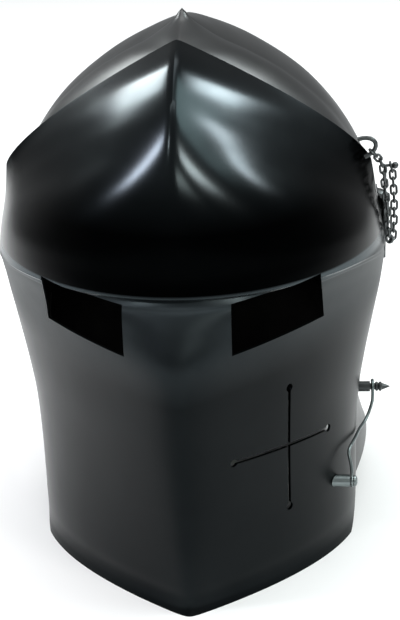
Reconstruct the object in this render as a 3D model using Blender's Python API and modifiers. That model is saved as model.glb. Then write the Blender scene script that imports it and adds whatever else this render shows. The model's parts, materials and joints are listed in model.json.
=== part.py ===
"""A visored barbute: a crested skull, a keeled visor on side pivots, a pinned hinge with its chain, and a hook catch."""

import math

import bmesh
import bpy
from mathutils import Matrix, Vector

# Driving sizes in metres. The front of the helmet faces -Y and it stands on z = 0.
HEIGHT = 0.305  # rim to the tip of the apex
HALF_WIDTH = 0.1085  # middle to the widest place of the visor, at the temples
REACH = 0.140  # pivot line's plane to the keel in front, and to the nape behind
WALL = 0.0016  # steel sheet of the skull and the visor
CLEARANCE = 0.0003  # between pieces that touch on the real helmet

# Pivots of the visor at the temples
PIVOT_Y = 0.130 * REACH
PIVOT_Z = 0.607 * HEIGHT
PIVOT_SHANK_RADIUS = 0.0024
PIVOT_HEAD_RADIUS = 0.0062
PIVOT_HEAD_HEIGHT = 0.0062
PIVOT_WASHER_RADIUS = 0.0050
PIVOT_WASHER_THICKNESS = 0.0012

# Arms from the pivots to the visor
ARM_THICKNESS = 0.0018
ARM_EYE_RADIUS = 0.0085
ARM_FRONT_HEIGHT = 0.0226
ARM_OFFSET = 0.9512 * HALF_WIDTH  # middle of the helmet to the arm's inner face
LEFT_ARM_FRONT_Y = -0.214 * REACH
LEFT_ARM_FRONT_HEIGHT = 0.012
LEFT_ARM_BEND_Y = -0.029 * REACH

# Pinned hinge on the right arm
BARREL_X = ARM_OFFSET + 0.0050
BARREL_Y = -0.070 * REACH
ARM_FRONT_Y = BARREL_Y + 0.0068
BARREL_RADIUS = 0.0026
BARREL_HEIGHT = 0.022
KNUCKLE_SHARE = 0.42  # the middle knuckle's share of the barrel
LEAF_THICKNESS = 0.0011
LEAF_LENGTH = 0.014
PIN_RADIUS = 0.0009
PIN_BELOW = 0.014  # pin's tip under the barrel
PIN_ABOVE = 0.0185  # pin's bend over the barrel
PIN_BEND = 0.0012
PIN_ARM = 0.0055  # shaft to the ball
BALL_RADIUS = 0.0019

# Chain of the hinge pin and the staple that holds it
CHAIN_WIRE_RADIUS = 0.00068
LINK_PITCH = 0.0043
LINK_WIDTH = 0.0032
LINK_BITE = 0.0002  # how far links press into each other, so that the chain is one body
LINK_STEPS = 10
LINK_SIDES = 5
RING_LENGTH = 0.0056
RING_WIDTH = 0.0040
RING_PLAY = 0.0002
STAPLE_WIRE_RADIUS = 0.0012
STAPLE_Y = -0.181 * REACH
STAPLE_EDGE = 0.0015  # visor's top edge to the upper foot, along the plate
STAPLE_SPAN = 0.0105
STAPLE_RISE = 0.0082
STAPLE_RING_ANGLE = 35  # degrees from its lower foot to the place of the chain's ring

# Catch: a stud on the skull, a stud on the visor and the hook between them
SKULL_STUD_Y = -0.0214 * REACH
SKULL_STUD_Z = 0.246 * HEIGHT
SKULL_STUD_LENGTH = 0.0219  # skull's plate to the pointed tip
SKULL_STUD_COLLAR_RADIUS = 0.0031
SKULL_STUD_NECK_RADIUS = 0.0019
SKULL_STUD_NECK = 0.0114  # skull's plate to the middle of the neck
VISOR_STUD_Y = -0.407 * REACH
VISOR_STUD_Z = 0.139 * HEIGHT
VISOR_STUD_RADIUS = 0.0035
VISOR_STUD_NECK_RADIUS = 0.0015
VISOR_STUD_NECK = 0.0095  # visor's plate to the middle of the neck
VISOR_STUD_HEAD = 0.0020
HOOK_WIRE_RADIUS = 0.00095
HOOK_PLAY = 0.0008  # between the hook's open end and the stud that it holds

# Openings
SIGHT_INNER_X = 0.2535 * HALF_WIDTH
SIGHT_OUTER_X = 0.682 * HALF_WIDTH
SIGHT_BOTTOM_Z = 0.5000 * HEIGHT
SIGHT_INNER_TOP_Z = 0.587 * HEIGHT
SIGHT_OUTER_TOP_Z = 0.606 * HEIGHT
SIGHT_LEAN = 0.0015  # how far the sight's upper outer corner lies inward of its lower one
CROSS_X = 0.504 * HALF_WIDTH
CROSS_Z = 0.272 * HEIGHT
CROSS_TILT = 0.115  # fall of the bar towards the side, for each unit outward
CROSS_ARMS = {"up": 0.0350, "down": 0.0385, "inward": 0.0400, "outward": 0.0340}
CROSS_SLOT = 0.0020
CROSS_HOLE_RADIUS = 0.0024
FACE_HALF_WIDTH = 0.700 * HALF_WIDTH
FACE_LOW_HALF_WIDTH = 0.520 * HALF_WIDTH  # between the cheeks' feet
FACE_LOW_Z = 0.160 * HEIGHT
FACE_TOP_Z = 0.633 * HEIGHT
FACE_CORNER_RADIUS = 0.045

# Mesh fineness
VISOR_COLUMNS = 26
SKULL_COLUMNS = 20
SECTION_STEPS = 1  # steps between two rows of a section table

# Section tables. A row is one line across the plate, from its side point to its point in the middle plane.
# side_x is a share of HALF_WIDTH; side_y and mid_y are shares of REACH; side_z and mid_z are shares of HEIGHT.
# keel is 1 where the middle is a sharp ridge and 2 where it is round; side is the same for the plate's flank.
# trim is the share of the row that the rounded lower corner takes away at each side.
# bow lifts a row halfway between its side and its middle, as a share of HEIGHT.
# nose rounds the ridge over: the larger, the wider the rounding.
VISOR_COLUMNS_OF_TABLE = ("side_x", "side_y", "side_z", "mid_y", "mid_z", "keel", "side", "trim", "bow", "nose")
BROW_ROWS = (
    (0.925, -0.143, 0.728, -0.357, 0.9755, 1.00, 1.35, 0.0, 0.000, 0.010),
    (0.940, -0.125, 0.695, -0.510, 0.9480, 1.02, 1.42, 0.0, 0.000, 0.010),
    (0.954, -0.111, 0.662, -0.640, 0.9000, 1.06, 1.50, 0.0, 0.000, 0.010),
    (0.970, -0.100, 0.633, -0.742, 0.8400, 1.16, 1.60, 0.0, 0.001, 0.010),
    (0.981, -0.095, 0.610, -0.810, 0.7700, 1.45, 1.72, 0.0, 0.003, 0.010),
    (0.989, -0.093, 0.590, -0.844, 0.6940, 1.85, 1.80, 0.0, 0.008, 0.000),
    (0.994, -0.093, 0.573, -0.855, 0.6330, 2.00, 1.85, 0.0, 0.015, 0.000),
    (0.998, -0.093, 0.557, -0.864, 0.5820, 2.00, 1.85, 0.0, 0.022, 0.000),
)
FACE_ROWS = (
    (0.998, -0.094, 0.540, -0.907, 0.5740, 1.75, 1.60, 0.0, 0.022, 0.000),
    (0.986, -0.100, 0.508, -0.940, 0.5460, 1.40, 1.45, 0.0, 0.015, 0.040),
    (0.971, -0.107, 0.476, -0.985, 0.5020, 1.10, 1.38, 0.0, 0.006, 0.080),
    (0.936, -0.121, 0.416, -0.982, 0.4430, 1.00, 1.41, 0.0, 0.000, 0.090),
    (0.896, -0.136, 0.344, -0.966, 0.3600, 1.00, 1.48, 0.0, 0.000, 0.090),
    (0.868, -0.148, 0.279, -0.952, 0.2850, 1.00, 1.55, 0.0, 0.000, 0.085),
    (0.855, -0.155, 0.197, -0.935, 0.1970, 1.00, 1.65, 0.0, 0.000, 0.070),
    (0.852, -0.158, 0.125, -0.919, 0.1180, 1.00, 1.75, 0.000, 0.000, 0.055),
    (0.852, -0.158, 0.088, -0.913, 0.0820, 1.00, 1.80, 0.013, 0.000, 0.045),
    (0.852, -0.158, 0.058, -0.909, 0.0520, 1.00, 1.83, 0.040, 0.000, 0.038),
    (0.852, -0.158, 0.036, -0.906, 0.0300, 1.00, 1.84, 0.070, 0.000, 0.032),
    (0.855, -0.158, 0.020, -0.912, 0.0150, 1.00, 1.84, 0.115, 0.000, 0.030),
    (0.862, -0.158, 0.008, -0.923, 0.0040, 1.00, 1.84, 0.165, 0.000, 0.030),
    (0.870, -0.158, -0.003, -0.936, -0.0060, 1.00, 1.84, 0.220, 0.000, 0.030),
)

# The skull's rows run round the head: a front half and a back half share their side points.
# front_crest and back_crest are 1 where the middle is a sharp crest and 2 where it is round.
SKULL_COLUMNS_OF_TABLE = (
    "side_x", "side_y", "side_z", "front_y", "front_z", "back_y", "back_z", "front_crest", "back_crest", "flank"
)
SKULL_ROWS = (
    (0.928, 0.275, -0.030, -0.66, -0.030, 1.045, -0.080, 2.0, 2.0, 2.0),
    (0.925, 0.260, 0.096, -0.66, 0.120, 1.000, -0.018, 2.0, 2.0, 2.0),
    (0.897, 0.230, 0.142, -0.66, 0.160, 0.945, 0.060, 2.0, 2.0, 2.0),
    (0.856, 0.140, 0.220, -0.67, 0.240, 0.875, 0.165, 2.0, 2.0, 2.0),
    (0.856, 0.080, 0.330, -0.68, 0.350, 0.850, 0.300, 2.0, 2.0, 2.0),
    (0.905, 0.100, 0.450, -0.68, 0.460, 0.890, 0.430, 2.0, 2.0, 2.0),
    (0.946, 0.120, 0.560, -0.69, 0.560, 0.920, 0.550, 2.0, 2.0, 2.0),
    (0.938, 0.100, 0.650, -0.70, 0.655, 0.905, 0.660, 2.0, 2.0, 2.0),
    (0.865, 0.050, 0.722, -0.62, 0.745, 0.843, 0.770, 1.6, 1.9, 2.0),
    (0.706, 0.010, 0.807, -0.53, 0.830, 0.700, 0.858, 1.25, 1.7, 1.9),
    (0.500, -0.030, 0.876, -0.44, 0.893, 0.500, 0.917, 1.12, 1.5, 1.8),
    (0.325, -0.060, 0.918, -0.36, 0.940, 0.300, 0.950, 1.08, 1.4, 1.7),
    (0.184, -0.075, 0.945, -0.29, 0.961, 0.130, 0.969, 1.10, 1.4, 1.7),
    (0.092, -0.080, 0.967, -0.19, 0.975, 0.030, 0.979, 1.30, 1.5, 1.8),
    (0.044, -0.084, 0.981, -0.13, 0.984, -0.040, 0.986, 1.60, 1.7, 1.9),
    (0.018, -0.086, 0.993, -0.102, 0.994, -0.070, 0.994, 2.0, 2.0, 2.0),
)
APEX = (0.0, -0.086, 1.0)  # shares of HALF_WIDTH, REACH and HEIGHT

# The skull's rim is arched over the shoulders. Columns: y as a share of REACH, z as a share of HEIGHT.
SHOULDER_ARCH = (
    (-0.300, -0.030),
    (-0.292, 0.015),
    (-0.262, 0.040),
    (-0.200, 0.062),
    (-0.115, 0.074),
    (-0.020, 0.083),
    (0.080, 0.091),
    (0.180, 0.096),
    (0.260, 0.096),
    (0.430, 0.079),
    (0.640, 0.043),
    (0.880, 0.000),
    (0.980, -0.030),
)

# Middle line of the chain between its two rings, chosen by hand: x from the visor's widest place, y from the
# barrel and z from the pivots, in metres
CHAIN_ROUTE = (
    (-0.0023, -0.0121, 0.0340),
    (-0.0011, -0.0112, 0.0240),
    (0.0002, -0.0103, 0.0130),
    (0.0012, -0.0095, 0.0020),
    (0.0019, -0.0087, -0.0080),
    (0.0029, -0.0069, -0.0135),
    (0.0042, -0.0050, -0.0112),
    (0.0048, -0.0038, -0.0010),
    (0.0048, -0.0024, 0.0100),
    (0.0044, -0.0006, 0.0180),
)

# Line of the hook from its eye to the skull's stud, in shares of the way between the two in x, y and z
HOOK_RUN = (
    (-0.025, 0.046, 0.262),
    (-0.131, 0.102, 0.446),
    (-0.066, 0.167, 0.514),
    (0.180, 0.370, 0.523),
    (0.385, 0.611, 0.477),
    (0.631, 0.796, 0.462),
    (0.836, 0.889, 0.569),
)

MATERIALS = {
    "skull_steel": ((0.115, 0.118, 0.120), 0.32, 1.0),
    "visor_steel": ((0.028, 0.031, 0.033), 0.18, 1.0),
    "fitting_steel": ((0.080, 0.082, 0.084), 0.38, 1.0),
    "bright_steel": ((0.48, 0.50, 0.50), 0.28, 1.0),
}


def clear_scene():
    for obj in list(bpy.data.objects):
        bpy.data.objects.remove(obj, do_unlink=True)


def new_collection(name, shown):
    collection = bpy.data.collections.new(name)
    bpy.context.scene.collection.children.link(collection)
    collection.hide_render = not shown
    return collection


def material(name):
    found = bpy.data.materials.get(name)
    if found:
        return found
    colour, roughness, metallic = MATERIALS[name]
    made = bpy.data.materials.new(name)
    made.use_nodes = True
    shader = made.node_tree.nodes["Principled BSDF"]
    shader.inputs["Base Color"].default_value = (*colour, 1.0)
    shader.inputs["Roughness"].default_value = roughness
    shader.inputs["Metallic"].default_value = metallic
    return made


def add_object(name, mesh, finish=None):
    """Puts a mesh into the helmet's collection, or among the cutters when it has no finish."""
    obj = bpy.data.objects.new(name, mesh)
    if finish:
        PARTS.objects.link(obj)
        mesh.materials.append(material(finish))
        mesh.shade_smooth()
        mesh.set_sharp_from_angle(angle=math.radians(35))
    else:
        CUTTERS.objects.link(obj)
        obj.hide_render = True
        obj.display_type = "WIRE"
    return obj


def mesh_from(name, bm):
    mesh = bpy.data.meshes.new(name)
    bmesh.ops.recalc_face_normals(bm, faces=bm.faces)
    bm.to_mesh(mesh)
    bm.free()
    return mesh


def boolean(obj, other, operation):
    """Adds an exact Boolean against an object or a whole collection."""
    modifier = obj.modifiers.new(f"{operation.lower()}_{other.name}", "BOOLEAN")
    modifier.operation = operation
    modifier.solver = "EXACT"
    if isinstance(other, bpy.types.Collection):
        modifier.operand_type = "COLLECTION"
        modifier.collection = other
    else:
        modifier.object = other
    return modifier


def applied(obj):
    """Bakes an object's modifiers or curve into a plain welded mesh and returns that mesh."""
    bpy.context.view_layer.update()
    graph = bpy.context.evaluated_depsgraph_get()
    mesh = bpy.data.meshes.new_from_object(obj.evaluated_get(graph))
    mesh.transform(obj.matrix_world)
    bm = bmesh.new()
    bm.from_mesh(mesh)
    bmesh.ops.remove_doubles(bm, verts=bm.verts, dist=1e-6)
    bm.to_mesh(mesh)
    bm.free()
    return mesh


def fused(name, pieces, finish):
    """Joins overlapping objects into one body by Boolean union and removes the originals."""
    first, rest = pieces[0], pieces[1:]
    for other in rest:
        boolean(first, other, "UNION")
    mesh = applied(first)
    for piece in pieces:
        bpy.data.objects.remove(piece, do_unlink=True)
    mesh.materials.clear()
    return add_object(name, mesh, finish)


# Section curves of the plates


def catmull_rom(rows, steps):
    """Rows through the table's rows, with this many steps between two of them."""
    dense = []
    last = len(rows) - 1
    for i in range(last):
        before, a, b, after = rows[max(i - 1, 0)], rows[i], rows[i + 1], rows[min(i + 2, last)]
        for k in range(steps):
            t = k / steps
            dense.append(
                tuple(
                    0.5 * (2 * q + (r - p) * t + (2 * p - 5 * q + 4 * r - s) * t**2
                           + (3 * q - p - 3 * r + s) * t**3)
                    for p, q, r, s in zip(before, a, b, after)
                )
            )
    dense.append(rows[last])
    return dense


def even_points(points, count):
    """The same line with this many equal stretches."""
    lengths = [0.0]
    for a, b in zip(points, points[1:]):
        lengths.append(lengths[-1] + (b - a).length)
    spread, k = [], 0
    for i in range(count + 1):
        target = lengths[-1] * i / count
        while k < len(points) - 2 and lengths[k + 1] < target:
            k += 1
        share = (target - lengths[k]) / max(lengths[k + 1] - lengths[k], 1e-12)
        spread.append(points[k].lerp(points[k + 1], min(max(share, 0.0), 1.0)))
    return spread


def half_section(side, middle, keel, flank, count, trim=0.0, bow=0.0, nose=0.0):
    """Points from a side point to the middle plane, along a superellipse in the plane of the two."""
    fine = 160
    scale = math.sqrt(1 + nose**2) - nose
    start = math.asin(trim ** (flank / 2)) if trim > 0 else 0.0
    line = []
    for i in range(fine + 1):
        angle = start + (math.pi / 2 - start) * i / fine
        across = max(math.cos(angle), 0.0) ** (2 / keel)
        across = math.sqrt((across * scale + nose) ** 2 - nose**2)
        forward = math.sin(angle) ** (2 / flank)
        line.append(
            Vector(
                (
                    side.x * across,
                    side.y + (middle.y - side.y) * forward,
                    side.z + (middle.z - side.z) * forward + bow * math.sin(math.pi * forward),
                )
            )
        )
    line[-1].x = 0.0
    return even_points(line, count)


def mirrored(half):
    """A whole line from its half: the right side, the middle and the left side."""
    return half + [Vector((-p.x, p.y, p.z)) for p in reversed(half[:-1])]


def visor_line(row):
    v = dict(zip(VISOR_COLUMNS_OF_TABLE, row))
    side = Vector((v["side_x"] * HALF_WIDTH, v["side_y"] * REACH, v["side_z"] * HEIGHT))
    middle = Vector((0.0, v["mid_y"] * REACH, v["mid_z"] * HEIGHT))
    half = half_section(
        side, middle, v["keel"], v["side"], VISOR_COLUMNS // 2, max(v["trim"], 0.0), v["bow"] * HEIGHT, max(v["nose"], 0.0)
    )
    return mirrored(half)


def skull_loop(row):
    v = dict(zip(SKULL_COLUMNS_OF_TABLE, row))
    side = Vector((v["side_x"] * HALF_WIDTH, v["side_y"] * REACH, v["side_z"] * HEIGHT))
    front = Vector((0.0, v["front_y"] * REACH, v["front_z"] * HEIGHT))
    back = Vector((0.0, v["back_y"] * REACH, v["back_z"] * HEIGHT))
    quarter = SKULL_COLUMNS // 2
    ahead = mirrored(half_section(side, front, v["front_crest"], v["flank"], quarter))
    behind = mirrored(half_section(side, back, v["back_crest"], v["flank"], quarter))
    return ahead + list(reversed(behind))[1:-1]


def lofted(name, lines, closed, tip=None):
    """A surface through lines of equally many points, closed round and up to a tip where asked."""
    bm = bmesh.new()
    rings = [[bm.verts.new(p) for p in line] for line in lines]
    count = len(rings[0])
    for low, high in zip(rings, rings[1:]):
        for i in range(count if closed else count - 1):
            j = (i + 1) % count
            bm.faces.new((low[i], low[j], high[j], high[i]))
    if tip is not None:
        top = bm.verts.new(tip)
        ring = rings[-1]
        for i in range(count):
            bm.faces.new((ring[i], ring[(i + 1) % count], top))
    return mesh_from(name, bm)


def point_outward(mesh):
    """Turns the faces so that they look away from the inside of the head."""
    inside = Vector((0.0, 0.0, 0.5 * HEIGHT))
    bm = bmesh.new()
    bm.from_mesh(mesh)
    total = sum(f.normal.dot(f.calc_center_median() - inside) * f.calc_area() for f in bm.faces)
    if total < 0:
        bmesh.ops.reverse_faces(bm, faces=bm.faces)
    bm.to_mesh(mesh)
    bm.free()


def add_wall(obj):
    """Gives a surface its sheet thickness, towards the inside."""
    modifier = obj.modifiers.new("wall", "SOLIDIFY")
    modifier.thickness = WALL
    modifier.offset = -1.0
    modifier.use_even_offset = True


# Cutters


def box_cutter(name, low, high):
    bm = bmesh.new()
    size = [b - a for a, b in zip(low, high)]
    centre = [(a + b) / 2 for a, b in zip(low, high)]
    bmesh.ops.create_cube(bm, size=1.0, matrix=Matrix.Translation(centre) @ Matrix.Diagonal((*size, 1.0)))
    return add_object(name, mesh_from(name, bm))


def outline_mesh(name, outline, thickness, frame):
    """A flat outline given in its own plane, extruded by its thickness to both sides alike and placed by a frame."""
    curve = bpy.data.curves.new(name, "CURVE")
    curve.dimensions = "2D"
    curve.fill_mode = "BOTH"
    curve.extrude = thickness / 2
    spline = curve.splines.new("POLY")
    spline.points.add(len(outline) - 1)
    for point, (u, v) in zip(spline.points, outline):
        point.co = (u, v, 0.0, 1.0)
    spline.use_cyclic_u = True
    guide = bpy.data.objects.new(name, curve)
    CUTTERS.objects.link(guide)
    guide.hide_render = True
    guide.matrix_world = frame
    mesh = applied(guide)
    bpy.data.objects.remove(guide, do_unlink=True)
    return mesh


def frame_at(origin, u, v):
    """A placement whose local X and Y run along u and v."""
    u, v = Vector(u).normalized(), Vector(v).normalized()
    rotation = Matrix((u, v, u.cross(v))).transposed().to_4x4()
    return Matrix.Translation(origin) @ rotation


def arc(centre, radius, start, end, steps):
    """Points of a flat arc, angles in degrees."""
    angles = [math.radians(start + (end - start) * i / steps) for i in range(steps + 1)]
    return [(centre[0] + radius * math.cos(a), centre[1] + radius * math.sin(a)) for a in angles]


def cylinder_mesh(name, radius, start, end, segments):
    """A closed cylinder between two points."""
    start, end = Vector(start), Vector(end)
    along = end - start
    turn = along.to_track_quat("Z", "Y").to_matrix().to_4x4()
    bm = bmesh.new()
    bmesh.ops.create_cone(
        bm, cap_ends=True, segments=segments, radius1=radius, radius2=radius, depth=along.length,
        matrix=Matrix.Translation((start + end) / 2) @ turn,
    )
    return mesh_from(name, bm)


def sight_cutter(side):
    """The opening of one sight, seen from the front."""
    outline = [
        (side * SIGHT_INNER_X, SIGHT_BOTTOM_Z),
        (side * SIGHT_OUTER_X, SIGHT_BOTTOM_Z),
        (side * (SIGHT_OUTER_X - SIGHT_LEAN), SIGHT_OUTER_TOP_Z),
        (side * SIGHT_INNER_X, SIGHT_INNER_TOP_Z),
    ]
    depth = 0.75 * REACH
    frame = frame_at((0.0, -0.8 * REACH, 0.0), (1, 0, 0), (0, 0, 1))
    name = "sight_right" if side > 0 else "sight_left"
    return add_object(name, outline_mesh(name, outline, depth, frame))


def cross_cutters():
    """Slots and end holes of the cross, square to the right cheek."""
    at_cross = face_point(CROSS_X, CROSS_Z)
    inner = face_point(CROSS_X - 0.7 * CROSS_ARMS["inward"], CROSS_Z)
    outer = face_point(CROSS_X + 0.7 * CROSS_ARMS["outward"], CROSS_Z)
    along = (outer - inner).normalized()
    up = Vector((0, 0, 1))
    through = along.cross(up).normalized()
    bar = (along - up * CROSS_TILT).normalized()
    half_depth = 0.012
    frame = frame_at(at_cross, along, up)
    bar_frame = frame_at(at_cross, bar, bar.cross(through) * -1)
    slots = {
        "cross_bar": (bar_frame, -CROSS_ARMS["inward"], CROSS_ARMS["outward"], -CROSS_SLOT / 2, CROSS_SLOT / 2),
        "cross_upright": (frame, -CROSS_SLOT / 2, CROSS_SLOT / 2, -CROSS_ARMS["down"], CROSS_ARMS["up"]),
    }
    for name, (placed, left, right, low, high) in slots.items():
        outline = [(left, low), (right, low), (right, high), (left, high)]
        add_object(name, outline_mesh(name, outline, 2 * half_depth, placed))
    ends = {
        "up": up * CROSS_ARMS["up"],
        "down": -up * CROSS_ARMS["down"],
        "inward": -bar * CROSS_ARMS["inward"],
        "outward": bar * CROSS_ARMS["outward"],
    }
    for name, shift in ends.items():
        middle = at_cross + shift
        hole = cylinder_mesh(
            "hole_" + name, CROSS_HOLE_RADIUS, middle - through * half_depth, middle + through * half_depth, 12
        )
        add_object("hole_" + name, hole)
    return [bpy.data.objects[n] for n in (*slots, *("hole_" + e for e in ends))]


def face_point(x, z):
    """The place on the visor's outer face at this distance from the middle and height, on the right side."""
    lines = [visor_line(row) for row in catmull_rom(FACE_ROWS, 8)]
    row = min(lines, key=lambda line: min(abs(p.z - z) + 0.5 * abs(p.x - x) for p in line if p.x > 0))
    a, b = sorted((p for p in row if p.x >= 0), key=lambda p: abs(p.x - x))[:2]
    return Vector((x, a.y + (b.y - a.y) * (x - a.x) / (b.x - a.x), z))


# The two plates


def make_skull():
    loops = [skull_loop(row) for row in catmull_rom(SKULL_ROWS, SECTION_STEPS)]
    tip = Vector((APEX[0] * HALF_WIDTH, APEX[1] * REACH, APEX[2] * HEIGHT))
    mesh = lofted("skull", loops, closed=True, tip=tip)
    point_outward(mesh)
    skull = add_object("skull", mesh, "skull_steel")
    add_wall(skull)
    radius = FACE_CORNER_RADIUS
    step_z = FACE_LOW_Z + FACE_HALF_WIDTH - FACE_LOW_HALF_WIDTH
    outline = [(-FACE_HALF_WIDTH, step_z), (-FACE_LOW_HALF_WIDTH, FACE_LOW_Z), (-FACE_LOW_HALF_WIDTH, -0.01)]
    outline += [(FACE_LOW_HALF_WIDTH, -0.01), (FACE_LOW_HALF_WIDTH, FACE_LOW_Z), (FACE_HALF_WIDTH, step_z)]
    outline += arc((FACE_HALF_WIDTH - radius, FACE_TOP_Z - radius), radius, 0, 90, 5)
    outline += arc((-FACE_HALF_WIDTH + radius, FACE_TOP_Z - radius), radius, 90, 180, 5)
    frame = frame_at((0.0, -0.6 * REACH, 0.0), (1, 0, 0), (0, 0, 1))
    face = add_object("face_opening", outline_mesh("face_opening", outline, 0.9 * REACH, frame))
    boolean(skull, face, "DIFFERENCE")
    arch = [(y * REACH, z * HEIGHT) for y, z in SHOULDER_ARCH]
    across = frame_at((0.0, 0.0, 0.0), (0, 1, 0), (0, 0, 1))
    shoulders = add_object("shoulder_arch", outline_mesh("shoulder_arch", arch, 3 * HALF_WIDTH, across))
    boolean(skull, shoulders, "DIFFERENCE")
    boolean(skull, GROUND, "DIFFERENCE")
    for side in (1, -1):
        name = "pivot_hole_right" if side > 0 else "pivot_hole_left"
        hole = cylinder_mesh(
            name, PIVOT_SHANK_RADIUS + CLEARANCE,
            (side * 0.8 * HALF_WIDTH, PIVOT_Y, PIVOT_Z), (side * 1.1 * HALF_WIDTH, PIVOT_Y, PIVOT_Z), 14,
        )
        boolean(skull, add_object(name, hole), "DIFFERENCE")
    return skull


def make_visor():
    rows = catmull_rom(BROW_ROWS, SECTION_STEPS) + catmull_rom(FACE_ROWS, SECTION_STEPS)
    mesh = lofted("visor", [visor_line(row) for row in rows], closed=False)
    point_outward(mesh)
    visor = add_object("visor", mesh, "visor_steel")
    add_wall(visor)
    boolean(visor, GROUND, "DIFFERENCE")
    for cutter in (sight_cutter(1), sight_cutter(-1), *cross_cutters()):
        boolean(visor, cutter, "DIFFERENCE")
    return visor


# Turned and bent fittings


def turned(name, profile, origin, direction, finish, segments):
    """A turned piece: pairs of radius and distance along its axis, from its start to its end."""
    mesh = bpy.data.meshes.new(name)
    points = [(r, 0.0, z) for r, z in reversed(profile)]
    mesh.from_pydata(points, [(i, i + 1) for i in range(len(points) - 1)], [])
    obj = add_object(name, mesh, finish)
    screw = obj.modifiers.new("turn", "SCREW")
    screw.steps = screw.render_steps = segments
    screw.use_merge_vertices = True
    screw.merge_threshold = 1e-5
    obj.matrix_world = Matrix.Translation(origin) @ Vector(direction).to_track_quat("Z", "Y").to_matrix().to_4x4()
    return obj


def dome(radius, height, base, steps):
    """Profile pairs of a domed end that rises from a base along the axis."""
    turns = [math.pi / 2 * i / steps for i in range(steps + 1)]
    return [(radius * math.cos(a), base + height * math.sin(a)) for a in turns[:-1]] + [(0.0, base + height)]


def wire(name, points, radius, finish, resolution=2, cyclic=False):
    """A bent wire along straight stretches between points."""
    curve = bpy.data.curves.new(name, "CURVE")
    curve.dimensions = "3D"
    curve.bevel_depth = radius
    curve.bevel_resolution = resolution
    curve.use_fill_caps = not cyclic
    spline = curve.splines.new("POLY")
    spline.points.add(len(points) - 1)
    for point, place in zip(spline.points, points):
        point.co = (*place, 1.0)
    spline.use_cyclic_u = cyclic
    guide = bpy.data.objects.new(name, curve)
    CUTTERS.objects.link(guide)
    mesh = applied(guide)
    bpy.data.objects.remove(guide, do_unlink=True)
    return add_object(name, mesh, finish)


def smooth_route(points, steps):
    """A smooth line through chosen points."""
    return [Vector(p) for p in catmull_rom([tuple(p) for p in points], steps)]


def pivot(side):
    """A domed rivet through the arm and the skull, with its washer end inside the skull."""
    name = "pivot_right" if side > 0 else "pivot_left"
    arm_outside = ARM_OFFSET + ARM_THICKNESS
    inside = skull_inside_at_pivot() - CLEARANCE - PIVOT_WASHER_THICKNESS
    neck = arm_outside + CLEARANCE - inside
    profile = [
        (0.0, 0.0),
        (PIVOT_WASHER_RADIUS, 0.0),
        (PIVOT_WASHER_RADIUS, PIVOT_WASHER_THICKNESS),
        (PIVOT_SHANK_RADIUS, PIVOT_WASHER_THICKNESS),
        (PIVOT_SHANK_RADIUS, neck),
    ]
    profile += dome(PIVOT_HEAD_RADIUS, PIVOT_HEAD_HEIGHT, neck, 4)
    return turned(name, profile, (side * inside, PIVOT_Y, PIVOT_Z), (side, 0, 0), "fitting_steel", 16)


def skull_inside_at_pivot():
    """Distance from the middle to the flattest place inside the skull wall under the pivot's washer."""
    rows = catmull_rom(SKULL_ROWS, 6)
    reach = PIVOT_WASHER_RADIUS
    near = [
        p.x for row in rows for p in skull_loop(row)
        if abs(p.y - PIVOT_Y) < 3 * reach and abs(p.z - PIVOT_Z) < 2 * reach and p.x > 0
    ]
    return min(near) - WALL - CLEARANCE


def arm_plate(name, side, front_y, front_height, plan):
    """An arm: its side view, an eye drawn forward to a straight end, cut from a strip with the given plan."""
    half = front_height / 2
    eye = arc((PIVOT_Y, PIVOT_Z), ARM_EYE_RADIUS, -75, 75, 8)
    outline = [(front_y, PIVOT_Z - half), *eye, (front_y, PIVOT_Z + half)]
    middle = side * ARM_OFFSET
    frame = frame_at((middle, 0.0, 0.0), (0, 1, 0), (0, 0, 1))
    side_view = add_object(name + "_side_view", outline_mesh(name, outline, 0.04, frame))
    flat = frame_at((0.0, 0.0, PIVOT_Z), (1, 0, 0), (0, 1, 0))
    strip = [(side * x, y) for x, y in plan]
    plate = add_object(name, outline_mesh(name, strip, 0.04, flat), "fitting_steel")
    boolean(plate, side_view, "INTERSECT")
    hole = cylinder_mesh(
        name + "_eye", PIVOT_SHANK_RADIUS + CLEARANCE,
        (middle - 0.01, PIVOT_Y, PIVOT_Z), (middle + 0.01, PIVOT_Y, PIVOT_Z), 14,
    )
    boolean(plate, add_object(name + "_eye", hole), "DIFFERENCE")
    return plate


def make_left_arm():
    """The plain arm, bent to lie against the visor's inner face."""
    back = PIVOT_Y + 2 * ARM_EYE_RADIUS
    outer = ARM_OFFSET + ARM_THICKNESS
    half = LEFT_ARM_FRONT_HEIGHT / 2
    steps = 6
    along = [LEFT_ARM_BEND_Y + (LEFT_ARM_FRONT_Y - 0.002 - LEFT_ARM_BEND_Y) * i / steps for i in range(steps + 1)]
    outside = [(min(outer, inner_face(y, half)), y) for y in along]
    inside = [(x - ARM_THICKNESS, y) for x, y in reversed(outside)]
    plan = [(outer, back), *outside, *inside, (ARM_OFFSET, back)]
    return arm_plate("arm_left", -1, LEFT_ARM_FRONT_Y, LEFT_ARM_FRONT_HEIGHT, plan)


def inner_face(y, reach):
    """Distance from the middle to the visor's inner face at this depth, within this reach of the pivots' height."""
    rows = catmull_rom(BROW_ROWS, 6) + catmull_rom(FACE_ROWS[:4], 6)
    found = []
    for row in rows:
        line = [p for p in visor_line(row) if p.x > 0.5 * HALF_WIDTH]
        if min(abs(p.z - PIVOT_Z) for p in line) > 1.3 * reach:
            continue
        if y >= line[0].y:
            found.append(line[0].x)
            continue
        for a, b in zip(line, line[1:]):
            if b.y <= y <= a.y:
                found.append(a.x + (b.x - a.x) * (y - a.y) / (b.y - a.y))
    return min(found) - WALL - 1.5 * CLEARANCE


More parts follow.
